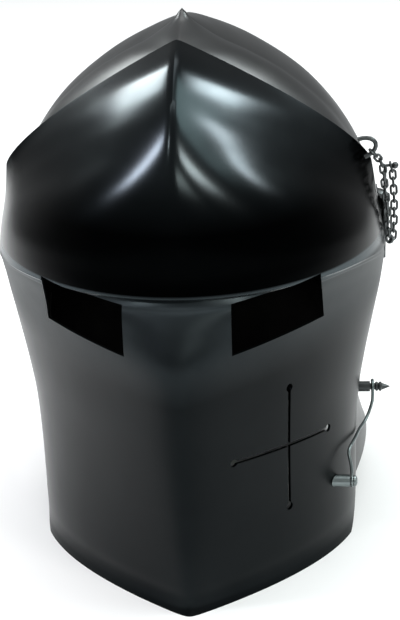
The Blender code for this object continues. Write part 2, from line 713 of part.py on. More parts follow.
def knuckle_heights():
    """The barrel's three stretches as (low, high), from the bottom up."""
    low = PIVOT_Z - BARREL_HEIGHT / 2
    middle = KNUCKLE_SHARE * BARREL_HEIGHT
    outer = (BARREL_HEIGHT - middle) / 2
    return (
        (low, low + outer - CLEARANCE / 2),
        (low + outer + CLEARANCE / 2, low + outer + middle - CLEARANCE / 2),
        (low + outer + middle + CLEARANCE / 2, low + BARREL_HEIGHT),
    )


def knuckle(name, low, high, web):
    """A knuckle of the barrel with a web, given by its plan outline, that joins it to its plate."""
    barrel = add_object(
        name + "_barrel",
        cylinder_mesh(name, BARREL_RADIUS, (BARREL_X, BARREL_Y, low), (BARREL_X, BARREL_Y, high), 16),
    )
    frame = frame_at((0.0, 0.0, (low + high) / 2), (1, 0, 0), (0, 1, 0))
    strip = add_object(name + "_web", outline_mesh(name + "_web", web, high - low, frame))
    return [barrel, strip]


def pin_hole():
    return add_object(
        "pin_hole",
        cylinder_mesh(
            "pin_hole", PIN_RADIUS + CLEARANCE,
            (BARREL_X, BARREL_Y, PIVOT_Z - BARREL_HEIGHT), (BARREL_X, BARREL_Y, PIVOT_Z + BARREL_HEIGHT), 12,
        ),
    )


def make_right_arm(hole):
    far, near = PIVOT_Y + 2 * ARM_EYE_RADIUS, ARM_FRONT_Y - 0.001
    edges = (ARM_OFFSET, ARM_OFFSET + ARM_THICKNESS)
    plan = [(edges[1], far), (edges[1], near), (edges[0], near), (edges[0], far)]
    plate = arm_plate("arm_right", 1, ARM_FRONT_Y, ARM_FRONT_HEIGHT, plan)
    low, _, high = knuckle_heights()
    inner = ARM_OFFSET + 0.0002
    outer = ARM_OFFSET + ARM_THICKNESS - 0.0002
    web = [
        (inner, ARM_FRONT_Y + 0.004),
        (inner, ARM_FRONT_Y - 0.0012),
        (BARREL_X - 0.0014, BARREL_Y + 0.0002),
        (BARREL_X + 0.0010, BARREL_Y + 0.0016),
        (outer, ARM_FRONT_Y + 0.0002),
        (outer, ARM_FRONT_Y + 0.004),
    ]
    pieces = [plate, *knuckle("arm_low", *low, web), *knuckle("arm_high", *high, web)]
    arm = fused("arm_right", pieces, "fitting_steel")
    boolean(arm, hole, "DIFFERENCE")
    return arm


def make_visor_leaf(hole):
    """The hinge leaf against the visor's inner face, its knuckle between the arm's two."""
    _, middle, _ = knuckle_heights()
    half = (middle[1] - middle[0]) / 2
    back = BARREL_Y - BARREL_RADIUS - 0.0010
    steps = 5
    along = [back - LEAF_LENGTH * i / steps for i in range(steps + 1)]
    outside = [(inner_face(y, half), y) for y in along]
    inside = [(x - LEAF_THICKNESS, y) for x, y in reversed(outside)]
    bridge = [
        (outside[0][0], back + 0.0012),
        (BARREL_X + 0.0004, BARREL_Y - 0.0014),
        (BARREL_X - 0.0012, BARREL_Y + 0.0006),
        (outside[0][0] - LEAF_THICKNESS, back + 0.0024),
    ]
    web = [*outside[::-1], *bridge, *inside[::-1]]
    pieces = knuckle("leaf", *middle, web)
    made = fused("visor_leaf_right", pieces, "fitting_steel")
    boolean(made, hole, "DIFFERENCE")
    return made


def make_pin():
    """The hinge pin: straight through the barrel, its top bent outward to a ball."""
    low = PIVOT_Z - BARREL_HEIGHT / 2 - PIN_BELOW
    top = PIVOT_Z + BARREL_HEIGHT / 2 + PIN_ABOVE
    bend = PIN_BEND
    path = [(BARREL_X, BARREL_Y, low), (BARREL_X, BARREL_Y, top - bend)]
    for i in range(1, 4):
        a = math.pi / 2 * i / 3
        path.append((BARREL_X + bend * (1 - math.cos(a)), BARREL_Y, top - bend * (1 - math.sin(a))))
    path.append((BARREL_X + PIN_ARM, BARREL_Y, top))
    rod = wire("pin_rod", path, PIN_RADIUS, "bright_steel")
    bm = bmesh.new()
    centre = Matrix.Translation((BARREL_X + PIN_ARM, BARREL_Y, top))
    bmesh.ops.create_uvsphere(bm, u_segments=14, v_segments=8, radius=BALL_RADIUS, matrix=centre)
    ball = add_object("pin_ball", mesh_from("pin_ball", bm), "fitting_steel")
    return fused("hinge_pin_right", [rod, ball], "fitting_steel")


# Chain


def link_mesh(name, frame, length, width, steps):
    """One oval link of round wire, its length along the frame's X and its width along its Y."""
    radius = width / 2
    straight = (length - width) / 2
    half = steps // 2
    path = []
    for end in (1, -1):
        for i in range(half):
            a = math.pi * (i + 0.5) / half - math.pi / 2
            path.append(Vector((end * (straight + radius * math.cos(a)), end * radius * math.sin(a), 0.0)))
    return tube_loop(name, [frame @ p for p in path], frame.to_3x3() @ Vector((0, 0, 1)))


def tube_loop(name, centres, flat_normal):
    """A closed ring of wire through centres that lie in one plane."""
    bm = bmesh.new()
    count = len(centres)
    rings = []
    for i, centre in enumerate(centres):
        forward = (centres[(i + 1) % count] - centres[i - 1]).normalized()
        inward = flat_normal.cross(forward).normalized()
        ring = []
        for k in range(LINK_SIDES):
            a = 2 * math.pi * k / LINK_SIDES
            offset = inward * math.cos(a) + flat_normal * math.sin(a)
            ring.append(bm.verts.new(centre + offset * CHAIN_WIRE_RADIUS))
        rings.append(ring)
    for i in range(count):
        a, b = rings[i], rings[(i + 1) % count]
        for k in range(LINK_SIDES):
            j = (k + 1) % LINK_SIDES
            bm.faces.new((a[k], a[j], b[j], b[k]))
    return mesh_from(name, bm)


def shoulder_profile(y):
    """The brow's outline on the right side in the plane at this depth, from its top edge down."""
    profile = []
    for row in catmull_rom(BROW_ROWS, 8):
        line = [p for p in visor_line(row) if p.x > 0]
        for a, b in zip(line, line[1:]):
            if b.y <= y < a.y:
                profile.append(a.lerp(b, (y - a.y) / (b.y - a.y)))
                break
    return profile


def staple_arc():
    """The staple's middle line: centre of its feet, half of the way between them and direction outward."""
    profile = shoulder_profile(STAPLE_Y)
    fine = even_points(profile, 400)
    step = (fine[1] - fine[0]).length
    first = round(STAPLE_EDGE / step)
    last = first + round(STAPLE_SPAN / step)
    feet = []
    for i in (last, first):
        away = (fine[i + 1] - fine[i]).cross(Vector((0, 1, 0))).normalized()
        if away.x < 0:
            away = -away
        feet.append(fine[i] + away * (CLEARANCE + STAPLE_WIRE_RADIUS))
    half = (feet[0] - feet[1]) / 2
    outward = half.cross(Vector((0, 1, 0))).normalized()
    if outward.x < 0:
        outward = -outward
    return (feet[0] + feet[1]) / 2, half, outward


def staple_point(degrees):
    centre, half, outward = staple_arc()
    a = math.radians(degrees)
    return centre + half * math.cos(a) + outward * (STAPLE_RISE * math.sin(a))


def make_staple():
    """A round-wire staple on the visor's shoulder, its feet against the plate."""
    path = [staple_point(180 * i / 10) for i in range(11)]
    return wire("chain_staple_right", path, STAPLE_WIRE_RADIUS, "fitting_steel", 1)


def make_chain():
    """Links turned a quarter from each other along the route, with a ring at the staple and one at the pin."""
    reach = CHAIN_WIRE_RADIUS - LINK_BITE / 2
    hold = staple_point(STAPLE_RING_ANGLE)
    rail = (staple_point(STAPLE_RING_ANGLE - 8) - staple_point(STAPLE_RING_ANGLE + 8)).normalized()
    away = rail.cross(Vector((0, 1, 0))).normalized()
    if away.x < 0:
        away = -away
    near = hold - away * (STAPLE_WIRE_RADIUS + CHAIN_WIRE_RADIUS + RING_PLAY)
    far = near + away * RING_LENGTH
    top = PIVOT_Z + BARREL_HEIGHT / 2 + PIN_ABOVE
    arm_x = BARREL_X + PIN_ARM - BALL_RADIUS - CHAIN_WIRE_RADIUS - RING_PLAY
    high = Vector((arm_x, BARREL_Y, top + PIN_RADIUS + CHAIN_WIRE_RADIUS + RING_PLAY))
    low = high + Vector((0.0014, 0, -RING_LENGTH))
    rings = [("ring_staple", near, far), ("ring_pin", low, high)]
    start = Vector((HALF_WIDTH, BARREL_Y, PIVOT_Z))
    chosen = [far - away * reach, *(start + Vector(p) for p in CHAIN_ROUTE), low + Vector((0, 0, reach))]
    route = smooth_route(chosen, 12)
    total = sum((b - a).length for a, b in zip(route, route[1:]))
    count = 2 * round((total / LINK_PITCH - 1) / 2) + 1
    places = even_points(route, count)
    pieces = []
    for name, a, b in rings:
        frame = frame_at((a + b) / 2, b - a, (0, 1, 0))
        ring = link_mesh(name, frame, (b - a).length, RING_WIDTH, LINK_STEPS)
        pieces.append(add_object(name, ring, "fitting_steel"))
    for i in range(count):
        a, b = places[i], places[i + 1]
        along = (b - a).normalized()
        aside = along.cross(Vector((0, 1, 0))).normalized()
        if i % 2:
            aside = along.cross(aside).normalized()
        length = (b - a).length + 2 * reach
        frame = frame_at((a + b) / 2, along, aside)
        name = f"link_{i:02d}"
        link = link_mesh(name, frame, length, LINK_WIDTH, LINK_STEPS)
        pieces.append(add_object(name, link, "fitting_steel"))
    return fused("pin_chain_right", pieces, "fitting_steel")


# Catch


def skull_outside(y, z):
    """Distance from the middle to the skull's outer face at this depth and height."""
    rows = catmull_rom(SKULL_ROWS, 8)
    points = [p for row in rows for p in skull_loop(row) if p.x > 0]
    return min(points, key=lambda p: abs(p.y - y) + abs(p.z - z)).x


def skull_neck():
    """Middle of the neck of the skull's stud."""
    start = skull_outside(SKULL_STUD_Y, SKULL_STUD_Z)
    return Vector((start + SKULL_STUD_NECK, SKULL_STUD_Y, SKULL_STUD_Z))


def visor_neck():
    """Middle of the neck of the visor's stud."""
    start = x_on_face(VISOR_STUD_Y, VISOR_STUD_Z)
    return Vector((start + VISOR_STUD_NECK, VISOR_STUD_Y, VISOR_STUD_Z))


def make_skull_stud():
    """The skull's stud: a collar at the plate, a neck for the hook, ring grooves and a pointed end."""
    plate = skull_outside(SKULL_STUD_Y, SKULL_STUD_Z)
    start = plate + 2 * CLEARANCE
    half_neck = HOOK_WIRE_RADIUS + 0.0005
    neck_low = skull_neck().x - half_neck - start
    neck_high = neck_low + 2 * half_neck
    end = plate + SKULL_STUD_LENGTH - start
    big, small = SKULL_STUD_COLLAR_RADIUS, SKULL_STUD_NECK_RADIUS
    profile = [(0.0, 0.0), (big, 0.0), (big, neck_low), (small, neck_low), (small, neck_high)]
    coils = 2
    coil = 0.0021
    ridge = 0.0011
    for i in range(coils):
        base = neck_high + i * coil
        shares = (0.02, 0.3, 0.7, 0.98)
        profile += [(small + ridge * math.sin(math.pi * a), base + coil * a) for a in shares]
    profile += [(small, neck_high + coils * coil + 0.0003), (0.55 * small, end - 0.0022), (0.0, end)]
    return turned(
        "catch_stud", profile, (start, SKULL_STUD_Y, SKULL_STUD_Z), (1, 0, 0), "fitting_steel", 12
    )


def make_visor_stud():
    """The visor's stud: a boss from the plate, a neck for the hook's eye and a domed head."""
    skin = Vector((x_on_face(VISOR_STUD_Y, VISOR_STUD_Z), VISOR_STUD_Y, VISOR_STUD_Z))
    step = 0.001
    aside = Vector((x_on_face(skin.y - step, skin.z), skin.y - step, skin.z)) - skin
    upward = Vector((x_on_face(skin.y, skin.z + step), skin.y, skin.z + step)) - skin
    normal = upward.cross(aside).normalized()
    if normal.x < 0:
        normal = -normal
    start = skin.x - VISOR_STUD_RADIUS
    half_neck = HOOK_WIRE_RADIUS + CLEARANCE
    neck_low = visor_neck().x - half_neck - start
    neck_high = neck_low + 2 * half_neck
    big, small = VISOR_STUD_RADIUS, VISOR_STUD_NECK_RADIUS
    profile = [(0.0, 0.0), (big, 0.0), (big, neck_low), (small, neck_low), (small, neck_high)]
    profile += dome(big, VISOR_STUD_HEAD, neck_high, 4)
    stud = turned("visor_stud", profile, (start, VISOR_STUD_Y, VISOR_STUD_Z), (1, 0, 0), "bright_steel", 16)
    depth = 4 * VISOR_STUD_RADIUS
    reach = 2 * VISOR_STUD_RADIUS
    square = [(-reach, -reach), (reach, -reach), (reach, reach), (-reach, reach)]
    inside = skin + normal * (CLEARANCE - depth / 2)
    flat = frame_at(inside, aside, normal.cross(aside))
    foot = add_object("visor_stud_foot", outline_mesh("visor_stud_foot", square, depth, flat))
    boolean(stud, foot, "DIFFERENCE")
    return stud


def x_on_face(y, z):
    """Distance from the middle to the visor's outer face at this depth and height."""
    lines = [visor_line(row) for row in catmull_rom(FACE_ROWS, 8)]
    row = min(lines, key=lambda line: min(abs(p.z - z) + abs(p.y - y) for p in line if p.x > 0))
    a, b = sorted((p for p in row if p.x > 0), key=lambda p: abs(p.y - y))[:2]
    return a.x + (b.x - a.x) * (y - a.y) / (b.y - a.y)


def make_hook():
    """The catch's wire: an eye round the visor's stud, a bend over the plate's edge, an open end on the skull's stud."""
    eye = visor_neck()
    stud = skull_neck()
    eye_radius = VISOR_STUD_NECK_RADIUS + CLEARANCE + HOOK_WIRE_RADIUS
    path = []
    turns = 10
    for i in range(turns + 1):
        a = math.radians(20 - 290 * i / turns)
        path.append(eye + Vector((0.0, eye_radius * math.cos(a), eye_radius * math.sin(a))))
    way = stud - eye
    path += [eye + Vector((way.x * a, way.y * b, way.z * c)) for a, b, c in HOOK_RUN]
    bend_radius = SKULL_STUD_NECK_RADIUS + HOOK_PLAY + HOOK_WIRE_RADIUS
    path.append(stud + Vector((0.0, -bend_radius, -2 * bend_radius)))
    for i in range(7):
        a = math.radians(180 - 132 * i / 6)
        path.append(stud + Vector((0.0, bend_radius * math.cos(a), bend_radius * math.sin(a))))
    return wire("catch_hook", smooth_route(path, 2), HOOK_WIRE_RADIUS, "bright_steel", 1)


clear_scene()
PARTS = new_collection("barbute", shown=True)
CUTTERS = new_collection("cutters", shown=False)
GROUND = box_cutter("ground", (-2 * REACH, -2 * REACH, -0.3 * HEIGHT), (2 * REACH, 2 * REACH, 0.0))
PIN_HOLE = pin_hole()

make_skull()
make_visor()
for hand in (1, -1):
    pivot(hand)
make_right_arm(PIN_HOLE)
make_left_arm()
make_visor_leaf(PIN_HOLE)
make_pin()
make_staple()
make_chain()
make_skull_stud()
make_visor_stud()
make_hook()
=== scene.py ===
"""The visored barbute in a plain studio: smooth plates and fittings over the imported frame."""

import json
import math

import bmesh
import bpy
from mathutils import Matrix, Vector

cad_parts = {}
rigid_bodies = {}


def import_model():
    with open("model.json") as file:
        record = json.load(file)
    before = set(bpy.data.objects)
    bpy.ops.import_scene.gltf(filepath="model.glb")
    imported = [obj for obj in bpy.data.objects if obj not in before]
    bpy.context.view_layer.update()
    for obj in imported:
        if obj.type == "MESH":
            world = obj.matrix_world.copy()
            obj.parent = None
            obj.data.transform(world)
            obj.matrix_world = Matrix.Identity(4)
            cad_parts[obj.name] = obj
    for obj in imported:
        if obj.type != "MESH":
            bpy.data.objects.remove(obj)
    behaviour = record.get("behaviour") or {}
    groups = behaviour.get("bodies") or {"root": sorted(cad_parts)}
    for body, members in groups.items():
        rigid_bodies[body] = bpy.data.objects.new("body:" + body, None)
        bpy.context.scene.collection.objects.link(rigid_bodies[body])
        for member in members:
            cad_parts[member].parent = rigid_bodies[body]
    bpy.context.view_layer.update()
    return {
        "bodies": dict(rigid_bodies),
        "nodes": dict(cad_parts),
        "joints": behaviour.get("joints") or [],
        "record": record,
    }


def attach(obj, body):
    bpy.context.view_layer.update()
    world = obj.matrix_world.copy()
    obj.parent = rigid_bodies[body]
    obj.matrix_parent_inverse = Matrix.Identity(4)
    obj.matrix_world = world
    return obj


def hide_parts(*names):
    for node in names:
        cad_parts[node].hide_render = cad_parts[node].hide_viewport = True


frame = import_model()

# Driving sizes in metres. The front of the helmet faces -Y and it stands on z = 0.
HEIGHT = 0.305  # rim to the tip of the apex
HALF_WIDTH = 0.1085  # middle to the widest place of the visor, at the temples
REACH = 0.140  # pivot line's plane to the keel in front, and to the nape behind
WALL = 0.0016  # steel sheet of the skull and the visor
CLEARANCE = 0.0003  # between pieces that touch on the real helmet
VISOR_BEVEL = 0.0004
ARM_BEVEL = 0.0003
BEVEL_ANGLE = 50  # degrees from which an edge is bevelled
SHARP_ANGLE = 35  # degrees from which an edge stays sharp

# Pivots of the visor at the temples
PIVOT_Y = 0.130 * REACH
PIVOT_Z = 0.607 * HEIGHT
PIVOT_SHANK_RADIUS = 0.0024
PIVOT_HEAD_RADIUS = 0.0062
PIVOT_HEAD_HEIGHT = 0.0062
PIVOT_WASHER_RADIUS = 0.0050
PIVOT_WASHER_THICKNESS = 0.0012

# Arms from the pivots to the visor
ARM_THICKNESS = 0.0018
ARM_EYE_RADIUS = 0.0085
ARM_FRONT_HEIGHT = 0.0226
ARM_BLANK = 0.04  # thickness of the blanks that an arm is cut from
ARM_OFFSET = 0.9512 * HALF_WIDTH  # middle of the helmet to the arm's inner face
LEFT_ARM_FRONT_Y = -0.214 * REACH
LEFT_ARM_FRONT_HEIGHT = 0.012
LEFT_ARM_BEND_Y = -0.029 * REACH

# Pinned hinge on the right arm
BARREL_X = ARM_OFFSET + 0.0050
BARREL_Y = -0.070 * REACH
ARM_FRONT_Y = BARREL_Y + 0.0068
BARREL_RADIUS = 0.0026
BARREL_HEIGHT = 0.022
KNUCKLE_SHARE = 0.42  # the middle knuckle's share of the barrel
WEB_INSET = 0.0002  # of a knuckle's web inside its plate
LEAF_THICKNESS = 0.0011
LEAF_LENGTH = 0.014
PIN_RADIUS = 0.0009
PIN_BELOW = 0.014  # pin's tip under the barrel
PIN_ABOVE = 0.0185  # pin's bend over the barrel
PIN_BEND = 0.0012
PIN_ARM = 0.0055  # shaft to the ball
BALL_RADIUS = 0.0019

# Chain of the hinge pin and the staple that holds it
CHAIN_WIRE_RADIUS = 0.00068
LINK_PITCH = 0.0043
LINK_WIDTH = 0.0032
LINK_BITE = 0.0002  # how far links press into each other, so that the chain is one body
LINK_STEPS = 24
LINK_SIDES = 10
RING_LENGTH = 0.0056
RING_WIDTH = 0.0040
RING_PLAY = 0.0002
STAPLE_WIRE_RADIUS = 0.0012
STAPLE_Y = -0.181 * REACH
STAPLE_EDGE = 0.0015  # visor's top edge to the upper foot, along the plate
STAPLE_SPAN = 0.0105
STAPLE_RISE = 0.0082
STAPLE_RING_ANGLE = 35  # degrees from its lower foot to the place of the chain's ring

# Catch: a stud on the skull, a stud on the visor and the hook between them
SKULL_STUD_Y = -0.0214 * REACH
SKULL_STUD_Z = 0.246 * HEIGHT
SKULL_STUD_LENGTH = 0.0219  # skull's plate to the pointed tip
SKULL_STUD_COLLAR_RADIUS = 0.0031
SKULL_STUD_NECK_RADIUS = 0.0019
SKULL_STUD_NECK = 0.0114  # skull's plate to the middle of the neck
VISOR_STUD_Y = -0.407 * REACH
VISOR_STUD_Z = 0.139 * HEIGHT
VISOR_STUD_RADIUS = 0.0035
VISOR_STUD_NECK_RADIUS = 0.0015
VISOR_STUD_NECK = 0.0095  # visor's plate to the middle of the neck
VISOR_STUD_HEAD = 0.0020
HOOK_WIRE_RADIUS = 0.00095
HOOK_PLAY = 0.0008  # between the hook's open end and the stud that it holds

# Openings
SIGHT_INNER_X = 0.2535 * HALF_WIDTH
SIGHT_OUTER_X = 0.682 * HALF_WIDTH
SIGHT_BOTTOM_Z = 0.5000 * HEIGHT
SIGHT_INNER_TOP_Z = 0.587 * HEIGHT
SIGHT_OUTER_TOP_Z = 0.606 * HEIGHT
SIGHT_LEAN = 0.0015  # how far the sight's upper outer corner lies inward of its lower one
CROSS_X = 0.504 * HALF_WIDTH
CROSS_Z = 0.272 * HEIGHT
CROSS_TILT = 0.115  # fall of the bar towards the side, for each unit outward
CROSS_ARMS = {"up": 0.0350, "down": 0.0385, "inward": 0.0400, "outward": 0.0340}
CROSS_SLOT = 0.0020
CROSS_HOLE_RADIUS = 0.0024
FACE_HALF_WIDTH = 0.700 * HALF_WIDTH
FACE_LOW_HALF_WIDTH = 0.520 * HALF_WIDTH  # between the cheeks' feet
FACE_LOW_Z = 0.160 * HEIGHT
FACE_TOP_Z = 0.633 * HEIGHT
FACE_CORNER_RADIUS = 0.045

# Mesh fineness
VISOR_COLUMNS = 140
SKULL_COLUMNS = 84
SECTION_STEPS = 7  # steps between two rows of a section table
PIVOT_HOLE_SEGMENTS = 14
HOLE_SEGMENTS = 12  # of the cross's end holes and of the pin's hole

# Section tables. A row is one line across the plate, from its side point to its point in the middle plane.
# side_x is a share of HALF_WIDTH; side_y and mid_y are shares of REACH; side_z and mid_z are shares of HEIGHT.
# keel is 1 where the middle is a sharp ridge and 2 where it is round; side is the same for the plate's flank.
# trim is the share of the row that the rounded lower corner takes away at each side.
# bow lifts a row halfway between its side and its middle, as a share of HEIGHT.
# nose rounds the ridge over: the larger, the wider the rounding.
# Columns of the visor's tables: side_x, side_y, side_z, mid_y, mid_z, keel, side, trim, bow, nose
BROW_ROWS = (
    (0.925, -0.143, 0.728, -0.357, 0.9755, 1.0, 1.35, 0.0, 0.0, 0.01),
    (0.94, -0.125, 0.695, -0.51, 0.948, 1.02, 1.42, 0.0, 0.0, 0.01),
    (0.954, -0.111, 0.662, -0.64, 0.9, 1.06, 1.5, 0.0, 0.0, 0.01),
    (0.97, -0.1, 0.633, -0.742, 0.84, 1.16, 1.6, 0.0, 0.001, 0.01),
    (0.981, -0.095, 0.61, -0.81, 0.77, 1.45, 1.72, 0.0, 0.003, 0.01),
    (0.989, -0.093, 0.59, -0.844, 0.694, 1.85, 1.8, 0.0, 0.008, 0.0),
    (0.994, -0.093, 0.573, -0.855, 0.633, 2.0, 1.85, 0.0, 0.015, 0.0),
    (0.998, -0.093, 0.557, -0.868, 0.602, 2.0, 1.85, 0.0, 0.012, 0.0),
)
FACE_ROWS = (
    (0.994, -0.096, 0.551, -0.848, 0.595, 2.0, 1.8, 0.0, 0.013, 0.0),
    (0.996, -0.096, 0.545, -0.866, 0.586, 1.9, 1.72, 0.0, 0.016, 0.0),
    (0.997, -0.096, 0.538, -0.895, 0.576, 1.75, 1.6, 0.0, 0.019, 0.01),
    (0.986, -0.1, 0.508, -0.94, 0.546, 1.4, 1.45, 0.0, 0.015, 0.04),
    (0.971, -0.107, 0.476, -0.985, 0.502, 1.1, 1.38, 0.0, 0.006, 0.08),
    (0.936, -0.121, 0.416, -0.982, 0.443, 1.0, 1.41, 0.0, 0.0, 0.09),
    (0.896, -0.136, 0.344, -0.966, 0.36, 1.0, 1.48, 0.0, 0.0, 0.09),
    (0.868, -0.148, 0.279, -0.952, 0.285, 1.0, 1.55, 0.0, 0.0, 0.085),
    (0.855, -0.155, 0.197, -0.935, 0.197, 1.0, 1.65, 0.0, 0.0, 0.07),
    (0.852, -0.158, 0.125, -0.919, 0.118, 1.0, 1.75, 0.0, 0.0, 0.055),
    (0.852, -0.158, 0.088, -0.913, 0.082, 1.0, 1.8, 0.013, 0.0, 0.045),
    (0.852, -0.158, 0.058, -0.909, 0.052, 1.0, 1.83, 0.04, 0.0, 0.038),
    (0.852, -0.158, 0.036, -0.906, 0.03, 1.0, 1.84, 0.07, 0.0, 0.032),
    (0.855, -0.158, 0.02, -0.912, 0.015, 1.0, 1.84, 0.115, 0.0, 0.03),
    (0.862, -0.158, 0.008, -0.923, 0.004, 1.0, 1.84, 0.165, 0.0, 0.03),
    (0.87, -0.158, -0.003, -0.936, -0.006, 1.0, 1.84, 0.22, 0.0, 0.03),
)

# The skull's rows run round the head: a front half and a back half share their side points.
# front_crest and back_crest are 1 where the middle is a sharp crest and 2 where it is round.
# Columns: side_x, side_y, side_z, front_y, front_z, back_y, back_z, front_crest, back_crest, flank
SKULL_ROWS = (
    (0.928, 0.275, -0.03, -0.66, -0.03, 1.045, -0.08, 2.0, 2.0, 2.0),
    (0.925, 0.26, 0.096, -0.66, 0.12, 1.0, -0.018, 2.0, 2.0, 2.0),
    (0.897, 0.23, 0.142, -0.66, 0.16, 0.945, 0.06, 2.0, 2.0, 2.0),
    (0.856, 0.14, 0.22, -0.67, 0.24, 0.875, 0.165, 2.0, 2.0, 2.0),
    (0.856, 0.08, 0.33, -0.68, 0.35, 0.85, 0.3, 2.0, 2.0, 2.0),
    (0.905, 0.1, 0.45, -0.68, 0.46, 0.89, 0.43, 2.0, 2.0, 2.0),
    (0.946, 0.12, 0.56, -0.69, 0.56, 0.92, 0.55, 2.0, 2.0, 2.0),
    (0.938, 0.1, 0.65, -0.7, 0.655, 0.905, 0.66, 2.0, 2.0, 2.0),
    (0.865, 0.05, 0.722, -0.62, 0.745, 0.843, 0.77, 1.6, 1.9, 2.0),
    (0.706, 0.01, 0.807, -0.53, 0.83, 0.7, 0.858, 1.25, 1.7, 1.9),
    (0.5, -0.03, 0.876, -0.44, 0.893, 0.5, 0.917, 1.12, 1.5, 1.8),
    (0.325, -0.06, 0.918, -0.36, 0.94, 0.3, 0.95, 1.08, 1.4, 1.7),
    (0.184, -0.075, 0.945, -0.29, 0.961, 0.13, 0.969, 1.1, 1.4, 1.7),
    (0.092, -0.08, 0.967, -0.19, 0.975, 0.03, 0.979, 1.3, 1.5, 1.8),
    (0.044, -0.084, 0.981, -0.13, 0.984, -0.04, 0.986, 1.6, 1.7, 1.9),
    (0.018, -0.086, 0.993, -0.102, 0.994, -0.07, 0.994, 2.0, 2.0, 2.0),
)
APEX = (0.0, -0.086, 1.0)  # shares of HALF_WIDTH, REACH and HEIGHT

# The skull's rim is arched over the shoulders. Columns: y as a share of REACH, z as a share of HEIGHT.
SHOULDER_ARCH = (
    (-0.300, -0.030),
    (-0.292, 0.015),
    (-0.262, 0.040),
    (-0.200, 0.062),
    (-0.115, 0.074),
    (-0.020, 0.083),
    (0.080, 0.091),
    (0.180, 0.096),
    (0.260, 0.096),
    (0.430, 0.079),
    (0.640, 0.043),
    (0.880, 0.000),
    (0.980, -0.030),
)

# Middle line of the chain between its two rings, given point by point: x from the visor's widest place, y from the
# barrel and z from the pivots, in metres
CHAIN_ROUTE = (
    (-0.0023, -0.0121, 0.0340),
    (-0.0011, -0.0112, 0.0240),
    (0.0002, -0.0103, 0.0130),
    (0.0012, -0.0095, 0.0020),
    (0.0019, -0.0087, -0.0080),
    (0.0029, -0.0069, -0.0135),
    (0.0042, -0.0050, -0.0112),
    (0.0048, -0.0038, -0.0010),
    (0.0048, -0.0024, 0.0100),
    (0.0044, -0.0006, 0.0180),
)

# Line of the hook from its eye to the skull's stud, in shares of the way between the two in x, y and z
HOOK_RUN = (
    (-0.025, 0.046, 0.262),
    (-0.131, 0.102, 0.446),
    (-0.066, 0.167, 0.514),
    (0.180, 0.370, 0.523),
    (0.385, 0.611, 0.477),
    (0.631, 0.796, 0.462),
    (0.836, 0.889, 0.569),
)

# The photograph's camera, angles in degrees and lengths in metres
CAMERA_AZIMUTH = 4.85
CAMERA_ELEVATION = 24.0
CAMERA_ROLL = -2.4
CAMERA_DISTANCE = 0.9035
CAMERA_FOCAL_PIXELS = 1543.4
CAMERA_SENSOR = 24.0  # height in millimetres
PHOTO_HEIGHT = 620  # pixels
CAMERA_TARGET = (0.0019, 0.0, 0.1239)

BACKWARD = Vector((0, 1, 0))

FINISHES = {}


def node(tree, kind, place, **values):
    """Adds a shader node at a place, with its properties and unlinked inputs set."""
    made = tree.nodes.new(kind)
    made.location = place
    for key, value in values.items():
        if key in made.inputs:
            made.inputs[key].default_value = value
        else:
            setattr(made, key, value)
    return made


def ramp(tree, place, stops):
    """A colour ramp of grey or coloured stops: position and colour."""
    made = tree.nodes.new("ShaderNodeValToRGB")
    made.location = place
    stop = made.color_ramp.elements
    while len(stop) < len(stops):
        stop.new(0.5)
    for element, (position, colour) in zip(stop, stops):
        element.position = position
        element.color = (*colour, 1.0) if isinstance(colour, tuple) else (colour, colour, colour, 1.0)
    return made


